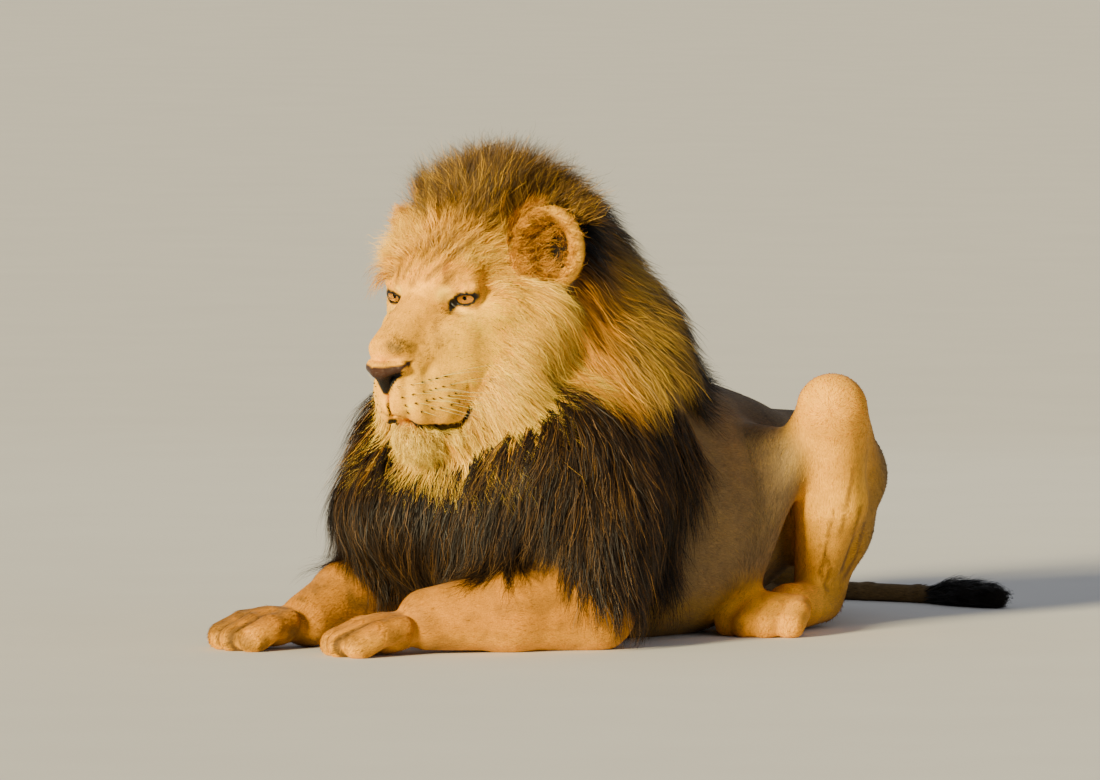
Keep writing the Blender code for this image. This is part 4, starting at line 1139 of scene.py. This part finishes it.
def roots(count, weight, seed):
    """count places on the skin, as likely as weight (per vertex) says: point, normal, lie, part weights, colour, uv"""
    rs = np.random.RandomState(seed)
    p = TA * np.maximum(weight[T].mean(1), 0)
    cum = np.cumsum(p)
    if cum[-1] <= 0:
        raise SystemExit("no place for hair %d" % seed)
    # even spread: one draw in each equal slice
    pick = np.searchsorted(cum, (np.arange(count) + rs.uniform(0, 1, count)) / count * cum[-1])
    pick = np.clip(pick, 0, len(T) - 1)
    a, b = rs.uniform(0, 1, count), rs.uniform(0, 1, count)
    fl = a + b > 1
    a[fl], b[fl] = 1 - a[fl], 1 - b[fl]
    bc = np.stack([1 - a - b, a, b], 1)
    t = T[pick]
    g = lambda X: (X[t] * bc[:, :, None]).sum(1)
    uv = (UV[pick] * bc[:, :, None]).sum(1)
    return {"P": g(V), "N": unit(g(NV)), "W": g(W), "C": g(COL), "uv": uv, "F": g(FLOW), "L": g(FACE_LEN[:, None])[:, 0], "K": g(FLECK[:, None])[:, 0], "M": g(MANEW[:, None])[:, 0]}, rs

# ------------------------------------------------------------------ long hair: locks of strands laid over the skin
def locks(name, count, weight, seed, length, segs, lift, per_lock, flow, colours, width, mat,
          clump=0.75, curl=0.004, stray=0.05, emerge=0.5, roll=0.5, spread=0.10, hold=0.55, grav=0.0):
    """Strands grow in locks. Each lock follows one guide, which climbs to its height over the skin and runs on along flow.
    length(R) and lift(R, L) are per root; colours(R, lock, own) gives root and tip colours"""
    R, rs = roots(count, weight, seed)
    n = len(R["P"])
    ng = max(8, n // per_lock)
    gi = rs.permutation(n)[:ng]
    kd = KDTree(ng)
    for i, p in enumerate(R["P"][gi]):
        kd.insert(p, i)
    kd.balance()
    jit = R["P"] + rs.normal(0, 0.003, (n, 3))
    who = np.array([kd.find(p)[1] for p in jit])
    L = length(R)
    Lg = L[gi] * rs.uniform(0.85, 1.15, ng)
    top = lift(R, L)[gi] * rs.uniform(0.55, 1.25, ng)
    p = R["P"][gi].copy()
    path, nrm = [p], [R["N"][gi]]
    wander = rs.normal(0, spread, (ng, 3))
    ph, fr = rs.uniform(0, 6.28, (2, ng)), rs.uniform(0.6, 1.6, ng)
    v = None
    for i in range(segs):
        t = (i + 1) / segs
        d, nn = field(p)
        nn = np.where((d < 0.10)[:, None], nn, nrm[-1])
        D = flow(p) + wander
        D = unit(D - nn * np.minimum((D * nn).sum(1), 0.0 if hold >= 1 else 1.0)[:, None] * hold - nn * np.maximum((D * nn).sum(1), 0)[:, None] * hold)
        stp = Lg / segs
        goal = top * t ** emerge
        climb = np.clip((goal - d) / stp, -0.75, 0.92)
        dn = (D * nn).sum(1)
        flat = unit(D - nn * dn[:, None])
        c = np.where(dn > climb, climb * hold + dn * (1 - hold), climb)
        c = np.clip(c, -0.85, 0.97)
        u = flat * np.sqrt(1 - c * c)[:, None] + nn * c[:, None]
        u[:, 2] -= grav * t
        u = unit(u)
        v = u if v is None else unit(u * 0.62 + v * 0.38)
        p = p + v * stp[:, None]
        path.append(p)
        nrm.append(nn)
    G = np.stack(path, 1)
    G[:, :, 2] = np.where(G[:, :, 2] > 0.815, 0.815 + 0.031 * np.tanh((G[:, :, 2] - 0.815) / 0.042), G[:, :, 2])
    NN = np.stack(nrm, 1)
    tt = np.linspace(0, 1, segs + 1)
    tang = unit(np.gradient(G, axis=1))
    sd = unit(np.cross(tang, NN))
    bend = np.sin(6.283 * (fr[:, None] * tt[None] * 1.3) + ph[0][:, None]) * (curl * tt[None] ** 0.8)
    G = G + sd * bend[:, :, None] * (Lg[:, None, None] / 0.10) ** 0.6
    # the strands of each lock
    s = np.clip(rs.uniform(0.62, 1.0, n) ** 0.7, 0, 1)
    idx = tt[None] * s[:, None] * segs
    i0 = np.minimum(idx.astype(int), segs - 1)
    f = (idx - i0)[:, :, None]
    g = G[who]
    ar = np.arange(n)[:, None]
    base = g[ar, i0] * (1 - f) + g[ar, i0 + 1] * f
    N = NN[who]
    N = unit(N[ar, i0] * (1 - f) + N[ar, i0 + 1] * f)
    off = R["P"] - R["P"][gi][who]
    pull = 1 - clump * tt ** 0.9
    own = rs.normal(0, 1, (n, 3))
    path = base + off[:, None] * pull[None, :, None] + own[:, None] * (L[:, None, None] * stray) * (tt ** 1.5)[None, :, None]
    fz = rs.uniform(0, 6.28, (n, 1))
    tang = unit(np.gradient(path, axis=1))
    sd = unit(np.cross(tang, N))
    path = path + sd * (np.sin(tt[None] * rs.uniform(6, 17, (n, 1)) + fz) * 0.0038 * tt[None])[:, :, None]
    # never below the floor, never inside the body
    flatp = path.reshape(-1, 3)
    d, nn = field(flatp)
    push = np.clip(0.0025 - d, 0, 0.02) * (np.tile(tt, n) > 0.15)
    flatp = flatp + nn * push[:, None]
    flatp[:, 2] = np.maximum(flatp[:, 2], 0.0075)
    path = flatp.reshape(n, segs + 1, 3)
    rl = rs.normal(0, roll, n)[:, None, None]
    sd = unit(sd * np.cos(rl) + N * np.sin(rl))
    lr = rs.uniform(0, 1, ng)[who]
    c0, c1 = colours(R, lr, rs.uniform(0, 1, n))
    return ribbons(name, path, sd, width * rs.uniform(0.7, 1.25, n), c0, c1, R["uv"], mat=mat)


def short(name, count, weight, seed, length, width, segs, lean, flow, vary, mat, dark=0.82, pale=1.18, flecks=1.0):
    """single hairs or small tufts lying close"""
    R, rs = roots(count, weight, seed)
    n = len(R["P"])
    L = length(R) * rs.uniform(0.65, 1.25, n)
    D = flow(R)
    N = R["N"]
    D = unit(D - N * (D * N).sum(1)[:, None] + rs.normal(0, vary, (n, 3)))
    D = unit(D - N * (D * N).sum(1)[:, None])
    tt = np.linspace(0, 1, segs + 1)
    up = lean(R)[:, None, None] * rs.uniform(0.6, 1.4, n)[:, None, None]
    rise = (tt - 0.45 * tt ** 2)[None, :, None]
    path = R["P"][:, None] - N[:, None] * 0.0004 + L[:, None, None] * (D[:, None] * tt[None, :, None] + N[:, None] * up * rise)
    path[:, :, 2] = np.maximum(path[:, :, 2], 0.0064)
    side = unit(np.cross(D, N))[:, None] * np.ones((1, segs + 1, 1))
    Q = R["P"] - D * (R["P"] * D).sum(1)[:, None] * 0.4
    g = (rs.normal(1.0, 0.15, n) * (1 + 0.13 * wave(Q, 520, 301) + 0.12 * wave(R["P"], 900, 302)))[:, None]
    ink = (rs.uniform(0, 1, n) < 0.50 * R["K"] * flecks)[:, None]
    c0 = R["C"] * dark * g * np.where(ink, 0.20, 1.0)
    c1 = R["C"] * pale * g * np.where(ink, 0.12, 1.0)
    return ribbons(name, path, side, width(R) * rs.uniform(0.7, 1.3, n) * np.where(ink[:, 0], 1.25, 1.0), c0, c1, R["uv"], taper=0.25, mat=mat)


def pick(own, share, a, b):
    return np.where((own < share)[:, None], b, a)


def pale_zone(P):
    """the sides and throat under the cheeks, where the hair is still pale"""
    H = to_head(P)
    d = np.sqrt(((H[:, 1] - 3.0) / 14.0) ** 2 + ((H[:, 2] + 8.0) / 13.0) ** 2) + 0.06 * wave(P, 45, 19)
    return 1 - step(d, 0.90, 1.02)


def mane_colours(R, lock, own):
    P = R["P"]
    g, o, b, k_ = [z[:, None] for z in mane_zones(P)]
    n = len(P)
    one = np.ones((n, 1))
    light = own < 0.16
    roots_ = g * lin("#AE721E") + o * lin("#4A3010") + b * lin("#120A05") + k_ * lin("#0A0706")
    tips = g * lin("#E09E36") + o * lin("#B48E42") + b * lin("#2C1D0C") + k_ * lin("#15110C")
    roots_l = g * lin("#D08A24") + o * lin("#7A5420") + b * lin("#3C2410") + k_ * lin("#1A130C")
    tips_l = g * lin("#F0B84C") + o * lin("#E0BC68") + b * lin("#8C642E") + k_ * lin("#564628")
    dark = (own > 0.90)[:, None]
    c0 = np.where(light[:, None], roots_l, roots_)
    c1 = np.where(light[:, None], tips_l, tips)
    c0 = np.where(dark, c0 * 0.35, c0)
    c1 = np.where(dark, c1 * 0.35, c1)
    # the pale ruff runs on over the front edge of the mane
    pale = pale_zone(P)[:, None]
    c0 = c0 * (1 - pale) + pick(own, 0.3, np.tile(lin("#E0A040"), (n, 1)), lin("#B87A28") * one) * pale
    c1 = c1 * (1 - pale) + pick(own, 0.25, np.tile(lin("#FDC650"), (n, 1)), lin("#E2A03A") * one) * pale
    v = 0.70 + 0.65 * lock[:, None] * (1 - 0.6 * pale) + 0.1 * pale
    v = v * (1 - 0.35 * (step(P[:, 1], 0.05, -0.05) * step(P[:, 2], 0.40, 0.30))[:, None] * (1 - pale))
    return c0 * v, c1 * v


def mane_len(R):
    P = R["P"]
    z, y = P[:, 2], P[:, 1]
    L = np.full(len(P), 0.135)
    L = L + 0.02 * step(z, 0.50, 0.36)
    L = L - 0.035 * step(z, 0.70, 0.78) - 0.02 * step(y, 0.30, 0.42)
    return L * (0.55 + 0.45 * np.clip(R["M"] * 1.3, 0, 1))


def mane_lift(R, L):
    d = mane_depth(R["P"])
    k = 0.72 + 0.38 * step(R["P"][:, 2], 0.66, 0.76) - 0.12 * step(R["P"][:, 1], 0.0, -0.06)
    return np.clip(d * k, 0.010, 0.048)


for part, (cnt, wt) in {"mane_left": (19000, step(V[:, 0], -0.03, 0.03)), "mane_right": (15700, step(-V[:, 0], -0.03, 0.03))}.items():
    w = MANEW * wt * step(V[:, 2], 0.335, 0.365)
    ob = locks(part, cnt, w, 31 + len(part), mane_len, 5, mane_lift, 14, mane_flow, mane_colours, 0.00118, LONG_MAT, clump=0.68, stray=0.065)
    ride(ob, "mane_hair", *(["mane"] if part == "mane_left" else []))
ob = locks("mane_chest", 20000, MANEW * step(V[:, 2], 0.365, 0.335) * (0.55 + 0.45 * step(V[:, 1], 0.2, 0.0)), 41, mane_len, 5, mane_lift, 14, mane_flow,
           mane_colours, 0.00118, LONG_MAT, clump=0.68, stray=0.065)
ride(ob, "mane_dark", "chest_mane")


# pale ruff of the cheeks, beard, throat and the crest over the brow
def ruff_colours(R, lock, own):
    n = len(R["P"])
    H = to_head(R["P"])
    crest = step(H[:, 2], 4.5, 7.5)[:, None]
    low = (step(H[:, 2], -20.5, -25) * step(H[:, 1], 10, 3))[:, None]
    root = mix(R["C"], np.tile(lin("#D49A3C"), (n, 1)), 0.45)
    tip = np.tile(lin("#FFDE80"), (n, 1))
    tip = pick(own, 0.22, tip, lin("#E8B048") * np.ones((n, 1)))
    back = step(H[:, 1], -9.5, -13.0)[:, None] * step(H[:, 2], 1.0, -3.0)[:, None]
    tip = tip * (1 - 0.12 * back)
    croot = np.tile(lin("#BE8A30"), (n, 1))
    ctip = np.tile(lin("#DEA642"), (n, 1))
    far = step(H[:, 1] + 1.2 * wave(R["P"], 60, 78), -8.4, -11.0)[:, None]
    ctip = mix(ctip, lin("#14100C"), (far * (own[:, None] < 0.85))[:, 0])
    ctip = pick(own, 0.10, ctip, lin("#1A130D") * np.ones((n, 1)))
    croot = mix(croot, lin("#6A4A20"), far[:, 0] * 0.9)
    root = root * (1 - crest) + croot * crest
    tip = tip * (1 - crest) + ctip * crest
    root = root * (1 - low) + lin("#8A5E28") * low
    tip = tip * (1 - low) + np.where((own < 0.72)[:, None], lin("#F4BE5C"), lin("#4A3018")) * low
    dk = 0.75 * streaks(H)[:, None]
    root, tip = root * (1 - dk) + lin("#6A4418") * dk, tip * (1 - dk) + lin("#8E6228") * dk
    v = 0.80 + 0.38 * lock[:, None]
    return root * v, tip * v


for word, sg in (("left", 1), ("right", -1)):
    ob = locks("ruff_" + word, 12000 if sg > 0 else 9700, HD * LONG * (1 - step(EARW, 0.1, 0.5)) * step(sg * HV[:, 0], -0.5, 0.5), 51 + sg, lambda R: R["L"], 5,
               lambda R, L: L * (0.11 + 0.40 * step(to_head(R["P"])[:, 2], 4.0, 7.5)) + 0.002, 9, face_flow, ruff_colours, 0.00095, LONG_MAT,
               clump=0.5, curl=0.003, stray=0.045, spread=0.07)
    ride(ob, "coat_head")


def crown_flow(P):
    H = to_head(P)
    D = np.stack([H[:, 0] * 0.115, -0.10 - 0.035 * np.clip(-H[:, 1] - 10, 0, 10), np.full(len(P), 1.0)], 1)
    return unit(D) @ H_AXES


def crown_colours(R, lock, own):
    n = len(R["P"])
    H = to_head(R["P"])
    back = step(H[:, 1] + 1.2 * wave(R["P"], 60, 77), -6.2, -8.8)
    root = mix(np.tile(lin("#E0A038"), (n, 1)), lin("#A0742E"), back)
    tip = mix(np.tile(lin("#F2BA50"), (n, 1)), lin("#0B0806"), np.clip(back * 1.5, 0, 1) * (own < 0.90))
    tip = pick(1 - own, 0.05, tip, lin("#E8BC6A") * np.ones((n, 1)))
    v = 0.82 + 0.34 * lock[:, None]
    return root * v, tip * v


ob = locks("crown_fringe", 8500, CROWN, 55, lambda R: 0.098 - 0.035 * step(to_head(R["P"])[:, 1], -10, -6.5), 6,
           lambda R, L: L * 0.80, 7, crown_flow, crown_colours, 0.0009, LONG_MAT, clump=0.45, curl=0.006, stray=0.07, spread=0.16, hold=0.15, emerge=0.9)
ride(ob, "mane_hair")
ob = locks("crown_wisps", 620, CROWN * step(V[:, 2], 0.60, 0.66), 56, lambda R: 0.100 + 0 * R["L"], 7,
           lambda R, L: L * 0.9, 3, crown_flow, lambda R, lock, own: (np.tile(lin("#3A2A16"), (len(lock), 1)), np.tile(lin("#1A130C"), (len(lock), 1))), 0.0007, LONG_MAT,
           clump=0.25, curl=0.010, stray=0.10, spread=0.22, hold=0.1, emerge=0.9)
ride(ob, "mane_hair")


def temple_flow(P):
    H = to_head(P)
    D = np.stack([np.full(len(P), -1.0), -0.15 + 0.02 * H[:, 1], 0.50 + 0.16 * np.clip(H[:, 2] - 4, -3, 6) - 0.09 * np.clip(-H[:, 0] - 6, 0, 12)], 1)
    return unit(D) @ H_AXES


def temple_colours(R, lock, own):
    n = len(R["P"])
    root = np.tile(lin("#D8A03C"), (n, 1))
    tip = pick(1 - own, 0.14, np.tile(lin("#F2C25C"), (n, 1)), lin("#3A2A14") * np.ones((n, 1)))
    v = 0.85 + 0.3 * lock[:, None]
    return root * v, tip * v


ob = locks("temple_hair", 5200, TEMPLE, 57, lambda R: 0.055 + 0.030 * step(to_head(R["P"])[:, 0], -3, -7), 6,
           lambda R, L: L * 0.50, 7, temple_flow, temple_colours, 0.0008, LONG_MAT, clump=0.4, curl=0.004, stray=0.06, spread=0.12, hold=0.3, grav=0.35)
ride(ob, "coat_head")

# the chin's tuft
def chin_flow(P):
    H = to_head(P)
    return unit(np.stack([H[:, 0] * 0.20, 0.10 + 0.05 * (H[:, 1] - 9), np.full(len(P), -1.0)], 1)) @ H_AXES


def chin_colours(R, lock, own):
    n = len(R["P"])
    root = np.tile(lin("#C49A54"), (n, 1))
    tip = pick(1 - own, 0.16, np.tile(lin("#FFDE88"), (n, 1)), lin("#4A3418") * np.ones((n, 1)))
    v = 0.78 + 0.4 * lock[:, None]
    return root * v, tip * v


ob = locks("chin_hair", 3600, CHINW, 58, lambda R: 0.024 + 0.012 * step(to_head(R["P"])[:, 2], -19, -22), 5,
           lambda R, L: L * 0.42, 7, chin_flow, chin_colours, 0.0008, LONG_MAT, clump=0.5, curl=0.003, stray=0.12, spread=0.22, hold=0.3)
ride(ob, "coat_jaw")

# short coat of the face
fw = HD * LIPS_FREE * (1 - LONG) * (1 - step(EARW, 0.2, 0.6)) * (1 - np.clip(WET * 1.5, 0, 1)) * (1 - OPEN)
ob = short("face_fur", 42000, fw * (1 + 0.8 * step(HY, 2, 12)), 61, lambda R: R["L"] * 1.0, lambda R: 0.00045 + 0.012 * R["L"], 2, lambda R: 0.16 + 0.25 * step(to_head(R["P"])[:, 2], 2.0, 5.0),
           lambda R: face_flow(R["P"]), 0.14, SHORT_MAT, 0.62, 1.28)
ride(ob, "coat_jaw")


# ears: soft rim, long brown hair in the cup, black back
def ear_weights(s):
    c, E, er = EAR_FRAME[s]
    q = (V - c) @ E.T
    near = (np.linalg.norm(q, axis=1) < 8.5 * UNIT) * step(EARW, 0.25, 0.6)
    d = np.sqrt((q[:, 0] / er[0]) ** 2 + (q[:, 2] / er[2]) ** 2)
    return q / UNIT, near, d, (NV @ E.T)


def ear_short(R):
    out = np.zeros((len(R["P"]), 3))
    for s in (1, -1):
        c, E, er = EAR_FRAME[s]
        m = (R["P"][:, 0] > 0) == (s > 0)
        q = R["P"][m] - c
        out[m] = unit(q - (q @ E[1])[:, None] * E[1] + 0.02 * E[2]) + 0.25 * E[2]
    return out


ob = short("ear_fur", 9000, step(EARW, 0.2, 0.6), 71, lambda R: 0.009 + 0 * R["L"], lambda R: 0.0007 + 0 * R["L"], 2,
           lambda R: 0.25 + 0 * R["L"], ear_short, 0.16, SHORT_MAT)
ride(ob, "coat_ear")


def cup_colours(R, lock, own):
    n = len(R["P"])
    root = np.tile(lin("#94601E"), (n, 1))
    tip = np.tile(lin("#D09030"), (n, 1))
    tip = pick(own, 0.40, tip, lin("#FFBC4C") * np.ones((n, 1)))
    tip = pick(1 - own, 0.2, tip, lin("#3A2010") * np.ones((n, 1)))
    v = 0.8 + 0.4 * lock[:, None]
    return root * v, tip * v


cup = np.zeros(len(V))
for s in (1, -1):
    q, near, d, n_ = ear_weights(s)
    edge = step(q[:, 0] * np.sign((EAR_FRAME[s][1][0] @ H_LEFT)) * s, 1.0, -2.5)       # the forward, inner side of the cup
    cup = np.maximum(cup, near * (q[:, 1] > -1.2) * (n_[:, 1] > 0.1) * (1 - step(d, 0.80, 0.92)) * (0.30 + 0.9 * edge))
    cup = np.maximum(cup, near * (q[:, 1] > -2.4) * edge * step(d, 0.72, 0.86) * 1.6)


def cup_flow(P):
    out = np.zeros_like(P)
    for s in (1, -1):
        c, E, er = EAR_FRAME[s]
        m = (P[:, 0] > 0) == (s > 0)
        x = E[0] * (1 if (E[0] @ H_LEFT) * s > 0 else -1)
        out[m] = x * 0.7 + E[1] * 0.55 + E[2] * 0.35
    return out


ob = locks("ear_cup_hair", 7600, cup, 81, lambda R: 0.033 + 0 * R["L"], 4, lambda R, L: 0.015 + 0 * L, 7, cup_flow, cup_colours, 0.0008, LONG_MAT,
           clump=0.5, curl=0.002, stray=0.12, spread=0.30, hold=0.3)
ride(ob, "coat_ear")


# tail tuft
def tuft_flow(P):
    return np.tile(np.array((0.97, -0.20, 0.05)), (len(P), 1))


tw = W[:, iP["tail"]] * step(V[:, 0], 0.075, 0.11) * (V[:, 1] > 1.10)
ob = locks("tail_tuft_hair", 3600, tw, 91, lambda R: 0.085 + 0 * R["L"], 5, lambda R, L: 0.016 + 0 * L, 14, tuft_flow,
           lambda R, lock, own: (np.tile(lin("#0D0A08"), (len(lock), 1)), np.tile(lin("#1E1712"), (len(lock), 1)) * (0.6 + lock[:, None])), 0.0013, LONG_MAT,
           clump=0.5, curl=0.003, spread=0.14)
ride(ob, "mane_dark", "tail_tuft")

# short coat of body and limbs
BODYW = COAT * (1 - step(HD, 0.25, 0.7)) * (1 - step(EARW, 0.2, 0.6)) * (1 - tw)
legs = np.clip(W[:, iP["foreleg"]] + W[:, iP["paw"]] + W[:, iP["hind"]] * step(V[:, 1], 0.75, 0.6), 0, 1)
low = step(V[:, 2], 0.0075, 0.014)
ob = short("body_coat_left", 38000, BODYW * (1 - legs) * low * (V[:, 0] > 0), 101, lambda R: 0.016 + 0 * R["L"], lambda R: 0.0011 + 0 * R["L"], 2,
           lambda R: 0.10 + 0 * R["L"], lambda R: unit(R["F"]), 0.14, SHORT_MAT, 0.70, 1.30)
ride(ob, "coat_body")
ob = short("body_coat_right", 30000, BODYW * (1 - legs) * low * (V[:, 0] <= 0), 102, lambda R: 0.016 + 0 * R["L"], lambda R: 0.0011 + 0 * R["L"], 2,
           lambda R: 0.10 + 0 * R["L"], lambda R: unit(R["F"]), 0.14, SHORT_MAT, 0.70, 1.30)
ride(ob, "coat_body")
ob = short("leg_coat", 56000, BODYW * legs * low * (1 + 0.6 * W[:, iP["paw"]]), 103, lambda R: 0.0115 + 0 * R["L"], lambda R: 0.0009 + 0 * R["L"], 2,
           lambda R: 0.12 + 0 * R["L"], lambda R: unit(R["F"]), 0.15, SHORT_MAT, 0.68, 1.28)
ride(ob, "coat_leg")

# dark hairs: the rows of whisker spots and the dotted line up from the corner of the mouth
rs = np.random.RandomState(8)
places, reach = [], []
for s in (1, -1):
    for row, n in enumerate((6, 7, 7, 6)):
        for j in range(n):
            places.append(WHISKER(s, row, j / (n - 1)))
            reach.append((0.0007, 7))
    pts = [hp(s * a[0], a[1], a[2]) for a in MOUTH[5:]] + [hp(s * 8.6, -0.6, -12.9)]
    for a, b in zip(pts[:-1], pts[1:]):
        n = max(2, int(np.linalg.norm(b - a) / 0.0022))
        for j in range(n):
            places.append(a + (b - a) * (j / n))
            reach.append((0.0008, 9))
    places.append(hp(s * 8.2, 1.0, -20.0))
    reach.append((0.0028, 60))
P0 = np.concatenate([p[None] + rs.normal(0, r, (c, 3)) for p, (r, c) in zip(places, reach)])
for _ in range(3):
    dd, nn = field(P0)
    P0 = P0 - nn * dd[:, None]
D0 = unit(face_flow(P0) + rs.normal(0, 0.15, P0.shape))
D0 = unit(D0 - nn * (D0 * nn).sum(1)[:, None])
tt = np.linspace(0, 1, 3)
L0 = rs.uniform(0.0030, 0.0055, len(P0))
path = P0[:, None] + L0[:, None, None] * (D0[:, None] * tt[None, :, None]) + nn[:, None] * (0.0011 + 0.0016 * tt[None, :, None])
ob = ribbons("dark_spots", path, unit(np.cross(D0, nn))[:, None] * np.ones((1, 3, 1)), np.full(len(P0), 0.0008), np.tile(lin("#1A0E06"), (len(P0), 1)),
             np.tile(lin("#24140A"), (len(P0), 1)), np.full((len(P0), 2), 0.002) + np.arange(len(P0))[:, None] * 0.00002, taper=0.4, mat=SHORT_MAT)
ride(ob, "coat_jaw")

# whiskers
rs = np.random.RandomState(7)
paths, wd = [], []
for s in (1, -1):
    for row, n in enumerate((6, 7, 7, 6)):
        for j in range(n):
            t = j / (n - 1)
            p = WHISKER(s, row, t)
            L = (0.020 + 0.075 * t) * rs.uniform(0.7, 1.2)
            d = unit(H_LEFT * s * (0.95 - 0.25 * t) - H_FWD * (0.35 + 0.55 * t) + H_UP * (0.12 - 0.16 * row + rs.normal(0, 0.08)) + H_FWD * rs.normal(0, 0.08))
            k = np.linspace(0, 1, 8)[:, None]
            droop = -H_UP * 0.30 * k ** 2 - H_FWD * 0.35 * k ** 2
            dd, nn = field(p[None])
            p = p - nn[0] * dd[0]
            paths.append(p + L * (d * k + droop))
            wd.append(0.00055)
paths = np.array(paths)
for roll_, nm in ((0.0, "whiskers_a"), (1.57, "whiskers_b")):
    tang = unit(np.gradient(paths, axis=1))
    sd = unit(np.cross(tang, np.tile(H_UP, tang.shape[:2] + (1,))))
    nn = unit(np.cross(sd, tang))
    sd = sd * math.cos(roll_) + nn * math.sin(roll_)
    n = len(paths)
    ob = ribbons(nm, paths, sd, np.array(wd), np.tile(lin("#E9DFC8"), (n, 1)), np.tile(lin("#FFFDF5"), (n, 1)), np.tile((0.001, 0.001), (n, 1)) + np.arange(n)[:, None] * 0.0005, mat=LONG_MAT)
    ride(ob, "coat_jaw")

# ------------------------------------------------------------------ floor, light, camera
bpy.ops.mesh.primitive_plane_add(size=400, location=(0, 0, 0))
floor = bpy.context.object
floor.name = "floor"
m = Nodes("floor_pale")
co = m.node("ShaderNodeTexCoord", 3)
m.set(Base_Color=m.ramp(m.noise(co, 3.0), [(0.2, (0.68, 0.66, 0.63)), (0.8, (0.72, 0.70, 0.67))]), Roughness=0.85)
floor.data.materials.append(m.mat)

world = bpy.data.worlds.new("studio")
bpy.context.scene.world = world
world.use_nodes = True
bg = world.node_tree.nodes["Background"]
bg.inputs[0].default_value = (0.84, 0.89, 0.98, 1)
bg.inputs[1].default_value = 0.33


def area(name, place, size, power, colour, aim=(0.0, -0.3, 0.4)):
    d = bpy.data.lights.new(name, "AREA")
    d.shape = "RECTANGLE"
    d.size, d.size_y = size
    d.energy = power
    d.color = colour
    o = bpy.data.objects.new(name, d)
    bpy.context.scene.collection.objects.link(o)
    o.location = place
    o.rotation_euler = (Vector(aim) - Vector(place)).to_track_quat("-Z", "Y").to_euler()


CAM_A, CAM_E, CAM_D, PIX = math.radians(35.0), math.radians(3.2), 22.0, 0.00162
back = Vector((math.sin(CAM_A) * math.cos(CAM_E), -math.cos(CAM_A) * math.cos(CAM_E), math.sin(CAM_E)))
aim = Vector((0.14, 0.0, (652 - 390) * PIX / math.cos(CAM_E))) + Vector(SHIFT)
right = Vector((math.cos(CAM_A), math.sin(CAM_A), 0))
sun = bpy.data.lights.new("key", "SUN")
sun.energy = 10.8
sun.angle = math.radians(12)
sun.color = (1.0, 0.865, 0.50)
so = bpy.data.objects.new("key", sun)
bpy.context.scene.collection.objects.link(so)
ta, te = math.radians(36), math.radians(15)
flat = Vector((back.x, back.y, 0)).normalized()
to_sun = (flat * math.cos(ta) - right * math.sin(ta)) * math.cos(te) + Vector((0, 0, math.sin(te)))
so.rotation_euler = (-to_sun).to_track_quat("-Z", "Y").to_euler()
area("fill", tuple(flat * 3.4 + right * 4.2 + Vector((0, 0, 2.0))), (3.5, 3.0), 22, (0.92, 0.95, 1.0))
area("rear", (-1.5, 4.2, 2.6), (3.0, 2.4), 12, (0.95, 0.96, 1.0))

cam = bpy.data.cameras.new("camera")
cam.sensor_width = 36.0
cam.lens = 36.0 * (CAM_D / PIX) / 1100.0
cam.clip_end = 200
co = bpy.data.objects.new("camera", cam)
bpy.context.scene.collection.objects.link(co)
co.location = aim + back * CAM_D
co.rotation_euler = (-back).to_track_quat("-Z", "Y").to_euler()
bpy.context.scene.camera = co
